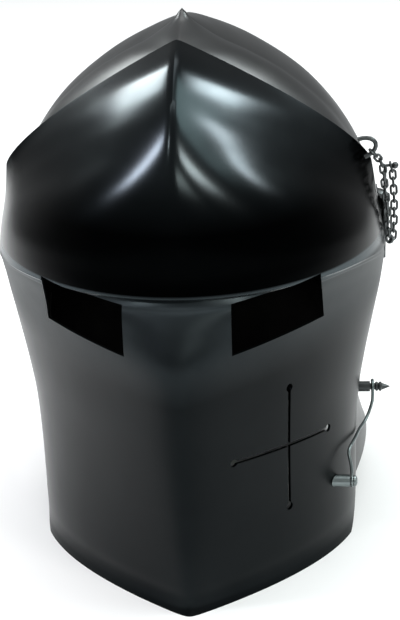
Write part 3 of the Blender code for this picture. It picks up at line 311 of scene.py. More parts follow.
def steel(name, dark, light, rough, grain, scratch, zones=None):
    """Worked steel: colour between two tones, uneven polish, hammer waviness and fine scratches.

    zones gives heights, the roughness added at each and the share of the colour that is left there; that share
    paints lighter and darker bands of light and shade by height.
    """
    made = bpy.data.materials.new(name)
    made.use_nodes = True
    tree = made.node_tree
    tree.nodes.clear()
    output = node(tree, "ShaderNodeOutputMaterial", (900, 0))
    shader = node(tree, "ShaderNodeBsdfPrincipled", (600, 0), Metallic=1.0)
    where = node(tree, "ShaderNodeTexCoord", (-1100, 0))
    link = tree.links.new

    def noise(place, source=where.outputs["Object"], **values):
        made = node(tree, "ShaderNodeTexNoise", place, **values)
        link(source, made.inputs["Vector"])
        return made.outputs["Fac"]

    tone = ramp(tree, (-450, 300), [(0.3, dark), (0.75, light)])
    link(noise((-700, 300), Scale=14.0, Detail=5.0, Roughness=0.6), tone.inputs["Fac"])
    colour = tone.outputs["Color"]

    span = {"From Min": 0.3, "From Max": 0.7, "To Min": rough[0], "To Max": rough[1]}
    polish = node(tree, "ShaderNodeMapRange", (-450, 0), **span)
    link(noise((-700, 0), Scale=grain, Detail=6.0, Roughness=0.65), polish.inputs["Value"])
    last = polish.outputs["Result"]
    if zones:
        split = node(tree, "ShaderNodeSeparateXYZ", (-900, -200))
        link(where.outputs["Object"], split.inputs["Vector"])
        low, high = zones[0][0], zones[-1][0]
        height = node(tree, "ShaderNodeMapRange", (-700, -200), **{"From Min": low, "From Max": high})
        link(split.outputs["Z"], height.inputs["Value"])
        added = ramp(tree, (-450, -200), [((z - low) / (high - low), extra) for z, extra, _ in zones])
        link(height.outputs["Result"], added.inputs["Fac"])
        # Painted light and shade: the colour is scaled by a share that changes with height.
        painted_light_share = ramp(tree, (-450, 550), [((z - low) / (high - low), share) for z, _, share in zones])
        link(height.outputs["Result"], painted_light_share.inputs["Fac"])
        painted_light_colour = node(tree, "ShaderNodeVectorMath", (-150, 400), operation="MULTIPLY")
        link(colour, painted_light_colour.inputs[0])
        link(painted_light_share.outputs["Color"], painted_light_colour.inputs[1])
        colour = painted_light_colour.outputs["Vector"]
        both = node(tree, "ShaderNodeMath", (-150, -50), operation="ADD")
        link(last, both.inputs[0])
        link(added.outputs["Color"], both.inputs[1])
        last = both.outputs["Value"]
    link(last, shader.inputs["Roughness"])
    link(colour, shader.inputs["Base Color"])

    hammer = node(tree, "ShaderNodeBump", (100, -350), Strength=0.10, Distance=0.0016)
    link(noise((-700, -450), Scale=22.0, Detail=1.5), hammer.inputs["Height"])
    stretch = node(tree, "ShaderNodeMapping", (-900, -700), Scale=(1.0, 1.0, 0.12))
    link(where.outputs["Object"], stretch.inputs["Vector"])
    lines = noise((-700, -700), stretch.outputs["Vector"], Scale=900.0, Detail=3.0, Roughness=0.7)
    fine = node(tree, "ShaderNodeBump", (350, -350), Strength=scratch, Distance=0.00004)
    link(lines, fine.inputs["Height"])
    link(hammer.outputs["Normal"], fine.inputs["Normal"])
    link(fine.outputs["Normal"], shader.inputs["Normal"])
    link(shader.outputs["BSDF"], output.inputs["Surface"])
    FINISHES[name] = made


def paper(name):
    """The floor's pale matt paper."""
    made = bpy.data.materials.new(name)
    made.use_nodes = True
    tree = made.node_tree
    shader = tree.nodes["Principled BSDF"]
    shader.inputs["Base Color"].default_value = (0.90, 0.90, 0.90, 1.0)
    shader.inputs["Roughness"].default_value = 0.9
    shader.inputs["Specular IOR Level"].default_value = 0.2
    FINISHES[name] = made


def add_object(name, mesh, finish=None):
    """Puts a mesh into the scene, among the helpers when it has no finish."""
    obj = bpy.data.objects.new(name, mesh)
    if finish:
        VISUAL.objects.link(obj)
        mesh.materials.append(FINISHES[finish])
        mesh.shade_smooth()
        mesh.set_sharp_from_angle(angle=math.radians(SHARP_ANGLE))
    else:
        HELPERS.objects.link(obj)
    return obj


def mesh_from(name, bm):
    """Turns a bmesh into a mesh, its faces all looking the same way, and frees it."""
    mesh = bpy.data.meshes.new(name)
    bmesh.ops.recalc_face_normals(bm, faces=bm.faces)
    bm.to_mesh(mesh)
    bm.free()
    return mesh


def boolean(obj, other, operation):
    """Adds an exact Boolean against another object."""
    modifier = obj.modifiers.new(f"{operation.lower()}_{other.name}", "BOOLEAN")
    modifier.operation = operation
    modifier.solver = "EXACT"
    modifier.object = other
    return modifier


def applied(obj):
    """Bakes an object's modifiers or curve into a plain welded mesh and returns that mesh."""
    bpy.context.view_layer.update()
    graph = bpy.context.evaluated_depsgraph_get()
    mesh = bpy.data.meshes.new_from_object(obj.evaluated_get(graph))
    mesh.transform(obj.matrix_world)
    bm = bmesh.new()
    bm.from_mesh(mesh)
    bmesh.ops.remove_doubles(bm, verts=bm.verts, dist=1e-6)
    bm.to_mesh(mesh)
    bm.free()
    return mesh


def fused(name, pieces):
    """Joins overlapping objects into one body by Boolean union and removes the originals."""
    first, rest = pieces[0], pieces[1:]
    for other in rest:
        boolean(first, other, "UNION")
    mesh = applied(first)
    for piece in pieces:
        bpy.data.objects.remove(piece, do_unlink=True)
    return add_object(name, mesh)


# Section curves of the plates


def catmull_rom(rows, steps):
    """Rows through the table's rows, with this many steps between two of them."""
    dense = []
    for four in zip((rows[0], *rows), rows, rows[1:], (*rows[2:], rows[-1])):
        for k in range(steps):
            t = k / steps
            dense.append(tuple(
                0.5 * (2 * q + (r - p) * t + (2 * p - 5 * q + 4 * r - s) * t**2 + (3 * q - p - 3 * r + s) * t**3)
                for p, q, r, s in zip(*four)
            ))
    return [*dense, rows[-1]]


def even_points(points, count):
    """The same line with this many equal stretches."""
    lengths = [0.0]
    for a, b in zip(points, points[1:]):
        lengths.append(lengths[-1] + (b - a).length)
    spread, k = [], 0
    for i in range(count + 1):
        target = lengths[-1] * i / count
        while k < len(points) - 2 and lengths[k + 1] < target:
            k += 1
        share = (target - lengths[k]) / max(lengths[k + 1] - lengths[k], 1e-12)
        spread.append(points[k].lerp(points[k + 1], min(max(share, 0.0), 1.0)))
    return spread


def half_section(side, middle, keel, flank, count, trim=0.0, bow=0.0, nose=0.0):
    """Points from a side point to the middle plane, along a superellipse in the plane of the two."""
    fine = 160
    scale = math.sqrt(1 + nose**2) - nose
    start = math.asin(trim ** (flank / 2)) if trim > 0 else 0.0
    line = []
    for i in range(fine + 1):
        angle = start + (math.pi / 2 - start) * i / fine
        across = max(math.cos(angle), 0.0) ** (2 / keel)
        across = math.sqrt((across * scale + nose) ** 2 - nose**2)
        forward = math.sin(angle) ** (2 / flank)
        line.append(Vector((
            side.x * across,
            side.y + (middle.y - side.y) * forward,
            side.z + (middle.z - side.z) * forward + bow * math.sin(math.pi * forward),
        )))
    line[-1].x = 0.0
    return even_points(line, count)


def in_metres(x, y, z):
    """A place given in shares of HALF_WIDTH, REACH and HEIGHT."""
    return Vector((x * HALF_WIDTH, y * REACH, z * HEIGHT))


def mirrored(half):
    """A whole line from its half: the right side, the middle and the left side."""
    return half + [Vector((-p.x, p.y, p.z)) for p in reversed(half[:-1])]


def visor_line(row):
    """A row of the visor's tables as a line from side to side."""
    side_x, side_y, side_z, mid_y, mid_z, keel, flank, trim, bow, nose = row
    side, middle = in_metres(side_x, side_y, side_z), in_metres(0.0, mid_y, mid_z)
    count = VISOR_COLUMNS // 2
    return mirrored(half_section(side, middle, keel, flank, count, max(trim, 0.0), bow * HEIGHT, max(nose, 0.0)))


def skull_loop(row):
    """A row of the skull's table as a loop round the head."""
    side_x, side_y, side_z, front_y, front_z, back_y, back_z, front_crest, back_crest, flank = row
    side = in_metres(side_x, side_y, side_z)
    quarter = SKULL_COLUMNS // 2
    ahead = mirrored(half_section(side, in_metres(0.0, front_y, front_z), front_crest, flank, quarter))
    behind = mirrored(half_section(side, in_metres(0.0, back_y, back_z), back_crest, flank, quarter))
    return ahead + list(reversed(behind))[1:-1]


def lofted(name, lines, closed, tip=None):
    """A surface through lines of equally many points, closed round and up to a tip where asked."""
    bm = bmesh.new()
    rings = [[bm.verts.new(p) for p in line] for line in lines]
    count = len(rings[0])
    for low, high in zip(rings, rings[1:]):
        for i in range(count if closed else count - 1):
            j = (i + 1) % count
            bm.faces.new((low[i], low[j], high[j], high[i]))
    if tip is not None:
        top = bm.verts.new(tip)
        ring = rings[-1]
        for i in range(count):
            bm.faces.new((ring[i], ring[(i + 1) % count], top))
    return mesh_from(name, bm)


def point_outward(mesh):
    """Turns the faces so that they look away from the inside of the head."""
    inside = Vector((0.0, 0.0, 0.5 * HEIGHT))
    bm = bmesh.new()
    bm.from_mesh(mesh)
    total = sum(f.normal.dot(f.calc_center_median() - inside) * f.calc_area() for f in bm.faces)
    if total < 0:
        bmesh.ops.reverse_faces(bm, faces=bm.faces)
    bm.to_mesh(mesh)
    bm.free()


def add_wall(obj):
    """Gives a surface its sheet thickness, towards the inside."""
    modifier = obj.modifiers.new("wall", "SOLIDIFY")
    modifier.thickness = WALL
    modifier.offset = -1.0
    modifier.use_even_offset = True
    obj.data.materials.append(FINISHES["inside_black"])
    modifier.material_offset = 1


# Cutters


def box_cutter(name, low, high):
    """A box between two corners."""
    bm = bmesh.new()
    size = [b - a for a, b in zip(low, high)]
    centre = [(a + b) / 2 for a, b in zip(low, high)]
    bmesh.ops.create_cube(bm, size=1.0, matrix=Matrix.Translation(centre) @ Matrix.Diagonal((*size, 1.0)))
    return add_object(name, mesh_from(name, bm))


def curve_mesh(curve, points, cyclic, frame):
    """The mesh of a curve with straight stretches between points, placed by a frame."""
    spline = curve.splines.new("POLY")
    spline.points.add(len(points) - 1)
    for point, place in zip(spline.points, points):
        point.co = (*place, 1.0)
    spline.use_cyclic_u = cyclic
    guide = bpy.data.objects.new(curve.name, curve)
    HELPERS.objects.link(guide)
    guide.matrix_world = frame
    mesh = applied(guide)
    bpy.data.objects.remove(guide, do_unlink=True)
    return mesh


def extruded(name, outline, thickness, frame):
    """A flat outline given in its own plane, extruded by its thickness to both sides alike and placed by a frame."""
    curve = bpy.data.curves.new(name, "CURVE")
    curve.dimensions = "2D"
    curve.fill_mode = "BOTH"
    curve.extrude = thickness / 2
    return add_object(name, curve_mesh(curve, [(u, v, 0.0) for u, v in outline], True, frame))


def frame_at(origin, u, v):
    """A placement whose local X and Y run along u and v."""
    u, v = Vector(u).normalized(), Vector(v).normalized()
    rotation = Matrix((u, v, u.cross(v))).transposed().to_4x4()
    return Matrix.Translation(origin) @ rotation


def arc(centre, radius, start, end, steps):
    """Points of a flat arc, angles in degrees."""
    angles = [math.radians(start + (end - start) * i / steps) for i in range(steps + 1)]
    return [(centre[0] + radius * math.cos(a), centre[1] + radius * math.sin(a)) for a in angles]


def cylinder(name, radius, start, end, segments):
    """A closed cylinder between two points, among the helpers."""
    start, end = Vector(start), Vector(end)
    along = end - start
    turn = along.to_track_quat("Z", "Y").to_matrix().to_4x4()
    bm = bmesh.new()
    bmesh.ops.create_cone(
        bm, cap_ends=True, segments=segments, radius1=radius, radius2=radius, depth=along.length,
        matrix=Matrix.Translation((start + end) / 2) @ turn,
    )
    return add_object(name, mesh_from(name, bm))


def sight_cutter(side):
    """The opening of one sight, seen from the front."""
    outline = [
        (side * SIGHT_INNER_X, SIGHT_BOTTOM_Z),
        (side * SIGHT_OUTER_X, SIGHT_BOTTOM_Z),
        (side * (SIGHT_OUTER_X - SIGHT_LEAN), SIGHT_OUTER_TOP_Z),
        (side * SIGHT_INNER_X, SIGHT_INNER_TOP_Z),
    ]
    depth = 0.75 * REACH
    frame = frame_at((0.0, -0.8 * REACH, 0.0), (1, 0, 0), (0, 0, 1))
    return extruded(f"sight_{side}", outline, depth, frame)


def cross_cutters():
    """Slots and end holes of the cross, square to the right cheek."""
    at_cross = face_point(CROSS_X, CROSS_Z)
    inner = face_point(CROSS_X - 0.7 * CROSS_ARMS["inward"], CROSS_Z)
    outer = face_point(CROSS_X + 0.7 * CROSS_ARMS["outward"], CROSS_Z)
    along = (outer - inner).normalized()
    up = Vector((0, 0, 1))
    through = along.cross(up).normalized()
    bar = (along - up * CROSS_TILT).normalized()
    half_depth = 0.012
    frame = frame_at(at_cross, along, up)
    bar_frame = frame_at(at_cross, bar, bar.cross(through) * -1)
    slots = {
        "cross_bar": (bar_frame, -CROSS_ARMS["inward"], CROSS_ARMS["outward"], -CROSS_SLOT / 2, CROSS_SLOT / 2),
        "cross_upright": (frame, -CROSS_SLOT / 2, CROSS_SLOT / 2, -CROSS_ARMS["down"], CROSS_ARMS["up"]),
    }
    cutters = []
    for name, (placed, left, right, low, high) in slots.items():
        outline = [(left, low), (right, low), (right, high), (left, high)]
        cutters.append(extruded(name, outline, 2 * half_depth, placed))
    ends = {
        "up": up * CROSS_ARMS["up"],
        "down": -up * CROSS_ARMS["down"],
        "inward": -bar * CROSS_ARMS["inward"],
        "outward": bar * CROSS_ARMS["outward"],
    }
    for name, shift in ends.items():
        middle = at_cross + shift
        start, end = middle - through * half_depth, middle + through * half_depth
        cutters.append(cylinder("hole_" + name, CROSS_HOLE_RADIUS, start, end, HOLE_SEGMENTS))
    return cutters


def face_point(x, z):
    """The place on the visor's outer face at this distance from the middle and height, on the right side."""
    lines = [visor_line(row) for row in catmull_rom(FACE_ROWS, 8)]
    row = min(lines, key=lambda line: min(abs(p.z - z) + 0.5 * abs(p.x - x) for p in line if p.x > 0))
    a, b = sorted((p for p in row if p.x >= 0), key=lambda p: abs(p.x - x))[:2]
    return Vector((x, a.y + (b.y - a.y) * (x - a.x) / (b.x - a.x), z))


# The two plates


def make_skull():
    """The skull plate with its face opening, arched shoulders, level rim and pivot holes."""
    loops = [skull_loop(row) for row in catmull_rom(SKULL_ROWS, SECTION_STEPS)]
    mesh = lofted("skull", loops, closed=True, tip=in_metres(*APEX))
    point_outward(mesh)
    skull = add_object("skull", mesh, "skull_satin")
    add_wall(skull)
    radius = FACE_CORNER_RADIUS
    step_z = FACE_LOW_Z + FACE_HALF_WIDTH - FACE_LOW_HALF_WIDTH
    outline = [(-FACE_HALF_WIDTH, step_z), (-FACE_LOW_HALF_WIDTH, FACE_LOW_Z), (-FACE_LOW_HALF_WIDTH, -0.01)]
    outline += [(FACE_LOW_HALF_WIDTH, -0.01), (FACE_LOW_HALF_WIDTH, FACE_LOW_Z), (FACE_HALF_WIDTH, step_z)]
    outline += arc((FACE_HALF_WIDTH - radius, FACE_TOP_Z - radius), radius, 0, 90, 5)
    outline += arc((-FACE_HALF_WIDTH + radius, FACE_TOP_Z - radius), radius, 90, 180, 5)
    frame = frame_at((0.0, -0.6 * REACH, 0.0), (1, 0, 0), (0, 0, 1))
    boolean(skull, extruded("face_opening", outline, 0.9 * REACH, frame), "DIFFERENCE")
    arch = [(y * REACH, z * HEIGHT) for y, z in SHOULDER_ARCH]
    across = frame_at((0.0, 0.0, 0.0), (0, 1, 0), (0, 0, 1))
    boolean(skull, extruded("shoulder_arch", arch, 3 * HALF_WIDTH, across), "DIFFERENCE")
    boolean(skull, GROUND, "DIFFERENCE")
    for side in (1, -1):
        start, end = (Vector((side * share * HALF_WIDTH, PIVOT_Y, PIVOT_Z)) for share in (0.8, 1.1))
        hole = cylinder(f"pivot_hole_{side}", PIVOT_SHANK_RADIUS + CLEARANCE, start, end, PIVOT_HOLE_SEGMENTS)
        boolean(skull, hole, "DIFFERENCE")
    return skull


def make_visor():
    """The visor plate with its level rim, two sights and cross."""
    rows = catmull_rom(BROW_ROWS, SECTION_STEPS) + catmull_rom(FACE_ROWS, SECTION_STEPS)
    mesh = lofted("visor", [visor_line(row) for row in rows], closed=False)
    point_outward(mesh)
    visor = add_object("visor", mesh, "visor_black")
    add_wall(visor)
    boolean(visor, GROUND, "DIFFERENCE")
    openings = joined("openings", [sight_cutter(1), sight_cutter(-1), *cross_cutters()])
    boolean(visor, openings, "DIFFERENCE").use_self = True
    return visor


# Turned and bent fittings


def turned(name, profile, origin, direction, segments):
    """A turned piece: pairs of radius and distance along its axis, from its start to its end."""
    mesh = bpy.data.meshes.new(name)
    points = [(r, 0.0, z) for r, z in reversed(profile)]
    mesh.from_pydata(points, [(i, i + 1) for i in range(len(points) - 1)], [])
    obj = add_object(name, mesh)
    screw = obj.modifiers.new("turn", "SCREW")
    screw.steps = screw.render_steps = segments
    screw.use_merge_vertices = True
    screw.merge_threshold = 1e-5
    obj.matrix_world = Matrix.Translation(origin) @ Vector(direction).to_track_quat("Z", "Y").to_matrix().to_4x4()
    return obj


def dome(radius, height, base, steps):
    """Profile pairs of a domed end that rises from a base along the axis."""
    turns = [math.pi / 2 * i / steps for i in range(steps + 1)]
    return [(radius * math.cos(a), base + height * math.sin(a)) for a in turns[:-1]] + [(0.0, base + height)]


def wire(name, points, radius, resolution=2):
    """A bent wire along straight stretches between points."""
    curve = bpy.data.curves.new(name, "CURVE")
    curve.dimensions = "3D"
    curve.bevel_depth = radius
    curve.bevel_resolution = resolution
    curve.use_fill_caps = True
    return add_object(name, curve_mesh(curve, points, False, Matrix()))


def smooth_route(points, steps):
    """A smooth line through chosen points."""
    return [Vector(p) for p in catmull_rom([tuple(p) for p in points], steps)]


def pivot(side):
    """A domed rivet through the arm and the skull, with its washer end inside the skull."""
    name = "pivot_right" if side > 0 else "pivot_left"
    arm_outside = ARM_OFFSET + ARM_THICKNESS
    inside = skull_inside_at_pivot() - CLEARANCE - PIVOT_WASHER_THICKNESS
    neck = arm_outside + CLEARANCE - inside
    profile = [
        (0.0, 0.0),
        (PIVOT_WASHER_RADIUS, 0.0),
        (PIVOT_WASHER_RADIUS, PIVOT_WASHER_THICKNESS),
        (PIVOT_SHANK_RADIUS, PIVOT_WASHER_THICKNESS),
        (PIVOT_SHANK_RADIUS, neck),
    ]
    profile += dome(PIVOT_HEAD_RADIUS, PIVOT_HEAD_HEIGHT, neck, 12)
    return turned(name, profile, (side * inside, PIVOT_Y, PIVOT_Z), (side, 0, 0), 48)


def skull_inside_at_pivot():
    """Distance from the middle to the flattest place inside the skull wall under the pivot's washer."""
    rows = catmull_rom(SKULL_ROWS, 6)
    reach = PIVOT_WASHER_RADIUS
    near = [
        p.x for row in rows for p in skull_loop(row)
        if abs(p.y - PIVOT_Y) < 3 * reach and abs(p.z - PIVOT_Z) < 2 * reach and p.x > 0
    ]
    return min(near) - WALL - CLEARANCE


def arm_plate(name, side, front_y, front_height, plan):
    """An arm: its side view, an eye drawn forward to a straight end, cut from a strip with the given plan."""
    half = front_height / 2
    eye = arc((PIVOT_Y, PIVOT_Z), ARM_EYE_RADIUS, -75, 75, 8)
    outline = [(front_y, PIVOT_Z - half), *eye, (front_y, PIVOT_Z + half)]
    middle = side * ARM_OFFSET
    frame = frame_at((middle, 0.0, 0.0), (0, 1, 0), (0, 0, 1))
    side_view = extruded(name + "_side_view", outline, ARM_BLANK, frame)
    flat = frame_at((0.0, 0.0, PIVOT_Z), (1, 0, 0), (0, 1, 0))
    plate = extruded(name, [(side * x, y) for x, y in plan], ARM_BLANK, flat)
    boolean(plate, side_view, "INTERSECT")
    start, end = ((middle + reach, PIVOT_Y, PIVOT_Z) for reach in (-0.01, 0.01))
    hole = cylinder(name + "_eye", PIVOT_SHANK_RADIUS + CLEARANCE, start, end, PIVOT_HOLE_SEGMENTS)
    boolean(plate, hole, "DIFFERENCE")
    return plate


def make_left_arm():
    """The plain arm, bent to lie against the visor's inner face."""
    back = PIVOT_Y + 2 * ARM_EYE_RADIUS
    outer = ARM_OFFSET + ARM_THICKNESS
    half = LEFT_ARM_FRONT_HEIGHT / 2
    steps = 6
    along = [LEFT_ARM_BEND_Y + (LEFT_ARM_FRONT_Y - 0.002 - LEFT_ARM_BEND_Y) * i / steps for i in range(steps + 1)]
    outside = [(outer, LEFT_ARM_BEND_Y)] + [(min(outer, inner_face(y, half)), y) for y in along[1:]]
    inside = [(x - ARM_THICKNESS, y) for x, y in reversed(outside)]
    plan = [(outer, back), *outside, *inside, (ARM_OFFSET, back)]
    return arm_plate("arm_left", -1, LEFT_ARM_FRONT_Y, LEFT_ARM_FRONT_HEIGHT, plan)


def inner_face(y, reach):
    """Distance from the middle to the visor's inner face at this depth, within this reach of the pivots' height."""
    rows = catmull_rom(BROW_ROWS, 6) + catmull_rom(FACE_ROWS[:4], 6)
    found = []
    for row in rows:
        line = [p for p in visor_line(row) if p.x > 0.5 * HALF_WIDTH]
        if min(abs(p.z - PIVOT_Z) for p in line) > 1.3 * reach:
            continue
        if y >= line[0].y:
            found.append(line[0].x)
            continue
        for a, b in zip(line, line[1:]):
            if b.y <= y <= a.y:
                found.append(a.x + (b.x - a.x) * (y - a.y) / (b.y - a.y))
    return min(found) - WALL - 1.5 * CLEARANCE


def knuckle_heights():
    """The barrel's three stretches as (low, high), from the bottom up."""
    low = PIVOT_Z - BARREL_HEIGHT / 2
    middle = KNUCKLE_SHARE * BARREL_HEIGHT
    outer = (BARREL_HEIGHT - middle) / 2
    return (
        (low, low + outer - CLEARANCE / 2),
        (low + outer + CLEARANCE / 2, low + outer + middle - CLEARANCE / 2),
        (low + outer + middle + CLEARANCE / 2, low + BARREL_HEIGHT),
    )


def knuckle(name, low, high, web):
    """A knuckle of the barrel with a web, given by its plan outline, that joins it to its plate."""
    barrel = cylinder(name + "_barrel", BARREL_RADIUS, (BARREL_X, BARREL_Y, low), (BARREL_X, BARREL_Y, high), 40)
    frame = frame_at((0.0, 0.0, (low + high) / 2), (1, 0, 0), (0, 1, 0))
    return [barrel, extruded(name + "_web", web, high - low, frame)]


def pin_hole():
    """The bore of the hinge's barrel."""
    start, end = ((BARREL_X, BARREL_Y, PIVOT_Z + reach) for reach in (-BARREL_HEIGHT, BARREL_HEIGHT))
    return cylinder("pin_hole", PIN_RADIUS + CLEARANCE, start, end, HOLE_SEGMENTS)


def make_right_arm(hole):
    """The hinged arm: a flat plate with the barrel's upper and lower knuckles on two webs."""
    far, near = PIVOT_Y + 2 * ARM_EYE_RADIUS, ARM_FRONT_Y - 0.001
    edges = (ARM_OFFSET, ARM_OFFSET + ARM_THICKNESS)
    plan = [(edges[1], far), (edges[1], near), (edges[0], near), (edges[0], far)]
    plate = arm_plate("arm_right", 1, ARM_FRONT_Y, ARM_FRONT_HEIGHT, plan)
    low, _, high = knuckle_heights()
    inner = ARM_OFFSET + WEB_INSET
    outer = ARM_OFFSET + ARM_THICKNESS - WEB_INSET
    web = [
        (inner, ARM_FRONT_Y + 0.004),
        (inner, ARM_FRONT_Y - 0.0012),
        (BARREL_X - 0.0014, BARREL_Y + 0.0002),
        (BARREL_X + 0.0010, BARREL_Y + 0.0016),
        (outer, ARM_FRONT_Y + 0.0002),
        (outer, ARM_FRONT_Y + 0.004),
    ]
    pieces = [plate, *knuckle("arm_low", *low, web), *knuckle("arm_high", *high, web)]
    arm = fused("arm_right", pieces)
    boolean(arm, hole, "DIFFERENCE")
    return arm


def make_visor_leaf(hole):
    """The hinge leaf against the visor's inner face, its knuckle between the arm's two."""
    _, middle, _ = knuckle_heights()
    half = (middle[1] - middle[0]) / 2
    back = BARREL_Y - BARREL_RADIUS - 0.0010
    steps = 5
    along = [back - LEAF_LENGTH * i / steps for i in range(steps + 1)]
    outside = [(inner_face(y, half), y) for y in along]
    inside = [(x - LEAF_THICKNESS, y) for x, y in reversed(outside)]
    bridge = [
        (outside[0][0], back + 0.0012),
        (BARREL_X + 0.0004, BARREL_Y - 0.0014),
        (BARREL_X - 0.0012, BARREL_Y + 0.0006),
        (outside[0][0] - LEAF_THICKNESS, back + 0.0024),
    ]
    web = [*outside[::-1], *bridge, *inside[::-1]]
    leaf = fused("visor_leaf_right", knuckle("leaf", *middle, web))
    boolean(leaf, hole, "DIFFERENCE")
    return leaf


def make_pin():
    """The hinge pin: straight through the barrel, its top bent outward to a ball."""
    low = PIVOT_Z - BARREL_HEIGHT / 2 - PIN_BELOW
    top = PIVOT_Z + BARREL_HEIGHT / 2 + PIN_ABOVE
    bend = PIN_BEND
    path = [(BARREL_X, BARREL_Y, low), (BARREL_X, BARREL_Y, top - bend)]
    for i in range(1, 4):
        a = math.pi / 2 * i / 3
        path.append((BARREL_X + bend * (1 - math.cos(a)), BARREL_Y, top - bend * (1 - math.sin(a))))
    path.append((BARREL_X + PIN_ARM, BARREL_Y, top))
    rod = wire("pin_rod", path, PIN_RADIUS)
    bm = bmesh.new()
    centre = Matrix.Translation((BARREL_X + PIN_ARM, BARREL_Y, top))
    bmesh.ops.create_uvsphere(bm, u_segments=32, v_segments=20, radius=BALL_RADIUS, matrix=centre)
    return fused("hinge_pin_right", [rod, add_object("pin_ball", mesh_from("pin_ball", bm))])


# Chain


def chain_link(name, frame, length, width):
    """One oval link of round wire, its length along the frame's X and its width along its Y."""
    radius = width / 2
    straight = (length - width) / 2
    half = LINK_STEPS // 2
    path = []
    for end in (1, -1):
        for i in range(half):
            a = math.pi * (i + 0.5) / half - math.pi / 2
            path.append(Vector((end * (straight + radius * math.cos(a)), end * radius * math.sin(a), 0.0)))
    return tube_loop(name, [frame @ p for p in path], frame.to_3x3() @ Vector((0, 0, 1)))


def tube_loop(name, centres, flat_normal):
    """A closed ring of wire through centres that lie in one plane."""
    bm = bmesh.new()
    count = len(centres)
    rings = []
    for i, centre in enumerate(centres):
        forward = (centres[(i + 1) % count] - centres[i - 1]).normalized()
        inward = flat_normal.cross(forward).normalized()
        ring = []
        for k in range(LINK_SIDES):
            a = 2 * math.pi * k / LINK_SIDES
            offset = inward * math.cos(a) + flat_normal * math.sin(a)
            ring.append(bm.verts.new(centre + offset * CHAIN_WIRE_RADIUS))
        rings.append(ring)
    for i in range(count):
        a, b = rings[i], rings[(i + 1) % count]
        for k in range(LINK_SIDES):
            j = (k + 1) % LINK_SIDES
            bm.faces.new((a[k], a[j], b[j], b[k]))
    return add_object(name, mesh_from(name, bm))


def shoulder_profile(y):
    """The brow's outline on the right side in the plane at this depth, from its top edge down."""
    profile = []
    for row in catmull_rom(BROW_ROWS, 8):
        line = [p for p in visor_line(row) if p.x > 0]
        for a, b in zip(line, line[1:]):
            if b.y <= y < a.y:
                profile.append(a.lerp(b, (y - a.y) / (b.y - a.y)))
                break
    return profile


def outward(vector):
    """The direction of a vector, turned so that it leads away from the middle on the right side."""
    direction = vector.normalized()
    return -direction if direction.x < 0 else direction


def staple_arc():
    """The staple's middle line: centre of its feet, half of the way between them and direction outward."""
    profile = shoulder_profile(STAPLE_Y)
    fine = even_points(profile, 400)
    step = (fine[1] - fine[0]).length
    first = round(STAPLE_EDGE / step)
    last = first + round(STAPLE_SPAN / step)
    feet = []
    for i in (last, first):
        away = outward((fine[i + 1] - fine[i]).cross(BACKWARD))
        feet.append(fine[i] + away * (CLEARANCE + STAPLE_WIRE_RADIUS))
    half = (feet[0] - feet[1]) / 2
    return (feet[0] + feet[1]) / 2, half, outward(half.cross(BACKWARD))


def staple_point(degrees):
    """A place on the staple's middle line, from 0 at its lower foot to 180 at its upper one."""
    centre, half, away = staple_arc()
    a = math.radians(degrees)
    return centre + half * math.cos(a) + away * (STAPLE_RISE * math.sin(a))


def make_staple():
    """A round-wire staple on the visor's shoulder, its feet against the plate."""
    path = [staple_point(180 * i / 10) for i in range(11)]
    return wire("chain_staple_right", path, STAPLE_WIRE_RADIUS, 5)


def make_chain():
    """Links turned a quarter from each other along the route, with a ring at the staple and one at the pin."""
    reach = CHAIN_WIRE_RADIUS - LINK_BITE / 2
    hold = staple_point(STAPLE_RING_ANGLE)
    rail = (staple_point(STAPLE_RING_ANGLE - 8) - staple_point(STAPLE_RING_ANGLE + 8)).normalized()
    away = outward(rail.cross(BACKWARD))
    near = hold - away * (STAPLE_WIRE_RADIUS + CHAIN_WIRE_RADIUS + RING_PLAY)
    far = near + away * RING_LENGTH
    top = PIVOT_Z + BARREL_HEIGHT / 2 + PIN_ABOVE
    arm_x = BARREL_X + PIN_ARM - BALL_RADIUS - CHAIN_WIRE_RADIUS - RING_PLAY
    high = Vector((arm_x, BARREL_Y, top + PIN_RADIUS + CHAIN_WIRE_RADIUS + RING_PLAY))
    low = high + Vector((0.0014, 0, -RING_LENGTH))
    rings = [("ring_staple", near, far), ("ring_pin", low, high)]
    start = Vector((HALF_WIDTH, BARREL_Y, PIVOT_Z))
    chosen = [far - away * reach, *(start + Vector(p) for p in CHAIN_ROUTE), low + Vector((0, 0, reach))]
    route = smooth_route(chosen, 12)
    total = sum((b - a).length for a, b in zip(route, route[1:]))
    count = 2 * round((total / LINK_PITCH - 1) / 2) + 1
    places = even_points(route, count)
    pieces = []
    for name, a, b in rings:
        frame = frame_at((a + b) / 2, b - a, (0, 1, 0))
        pieces.append(chain_link(name, frame, (b - a).length, RING_WIDTH))
    for i in range(count):
        a, b = places[i], places[i + 1]
        along = (b - a).normalized()
        aside = along.cross(BACKWARD).normalized()
        if i % 2:
            aside = along.cross(aside).normalized()
        length = (b - a).length + 2 * reach
        frame = frame_at((a + b) / 2, along, aside)
        name = f"link_{i:02d}"
        pieces.append(chain_link(name, frame, length, LINK_WIDTH))
    return joined("pin_chain_right", pieces)


# Catch


def skull_outside(y, z):
    """Distance from the middle to the skull's outer face at this depth and height."""
    rows = catmull_rom(SKULL_ROWS, 8)
    points = [p for row in rows for p in skull_loop(row) if p.x > 0]
    return min(points, key=lambda p: abs(p.y - y) + abs(p.z - z)).x


def skull_neck():
    """Middle of the neck of the skull's stud."""
    start = skull_outside(SKULL_STUD_Y, SKULL_STUD_Z)
    return Vector((start + SKULL_STUD_NECK, SKULL_STUD_Y, SKULL_STUD_Z))


def visor_neck():
    """Middle of the neck of the visor's stud."""
    start = x_on_face(VISOR_STUD_Y, VISOR_STUD_Z)
    return Vector((start + VISOR_STUD_NECK, VISOR_STUD_Y, VISOR_STUD_Z))


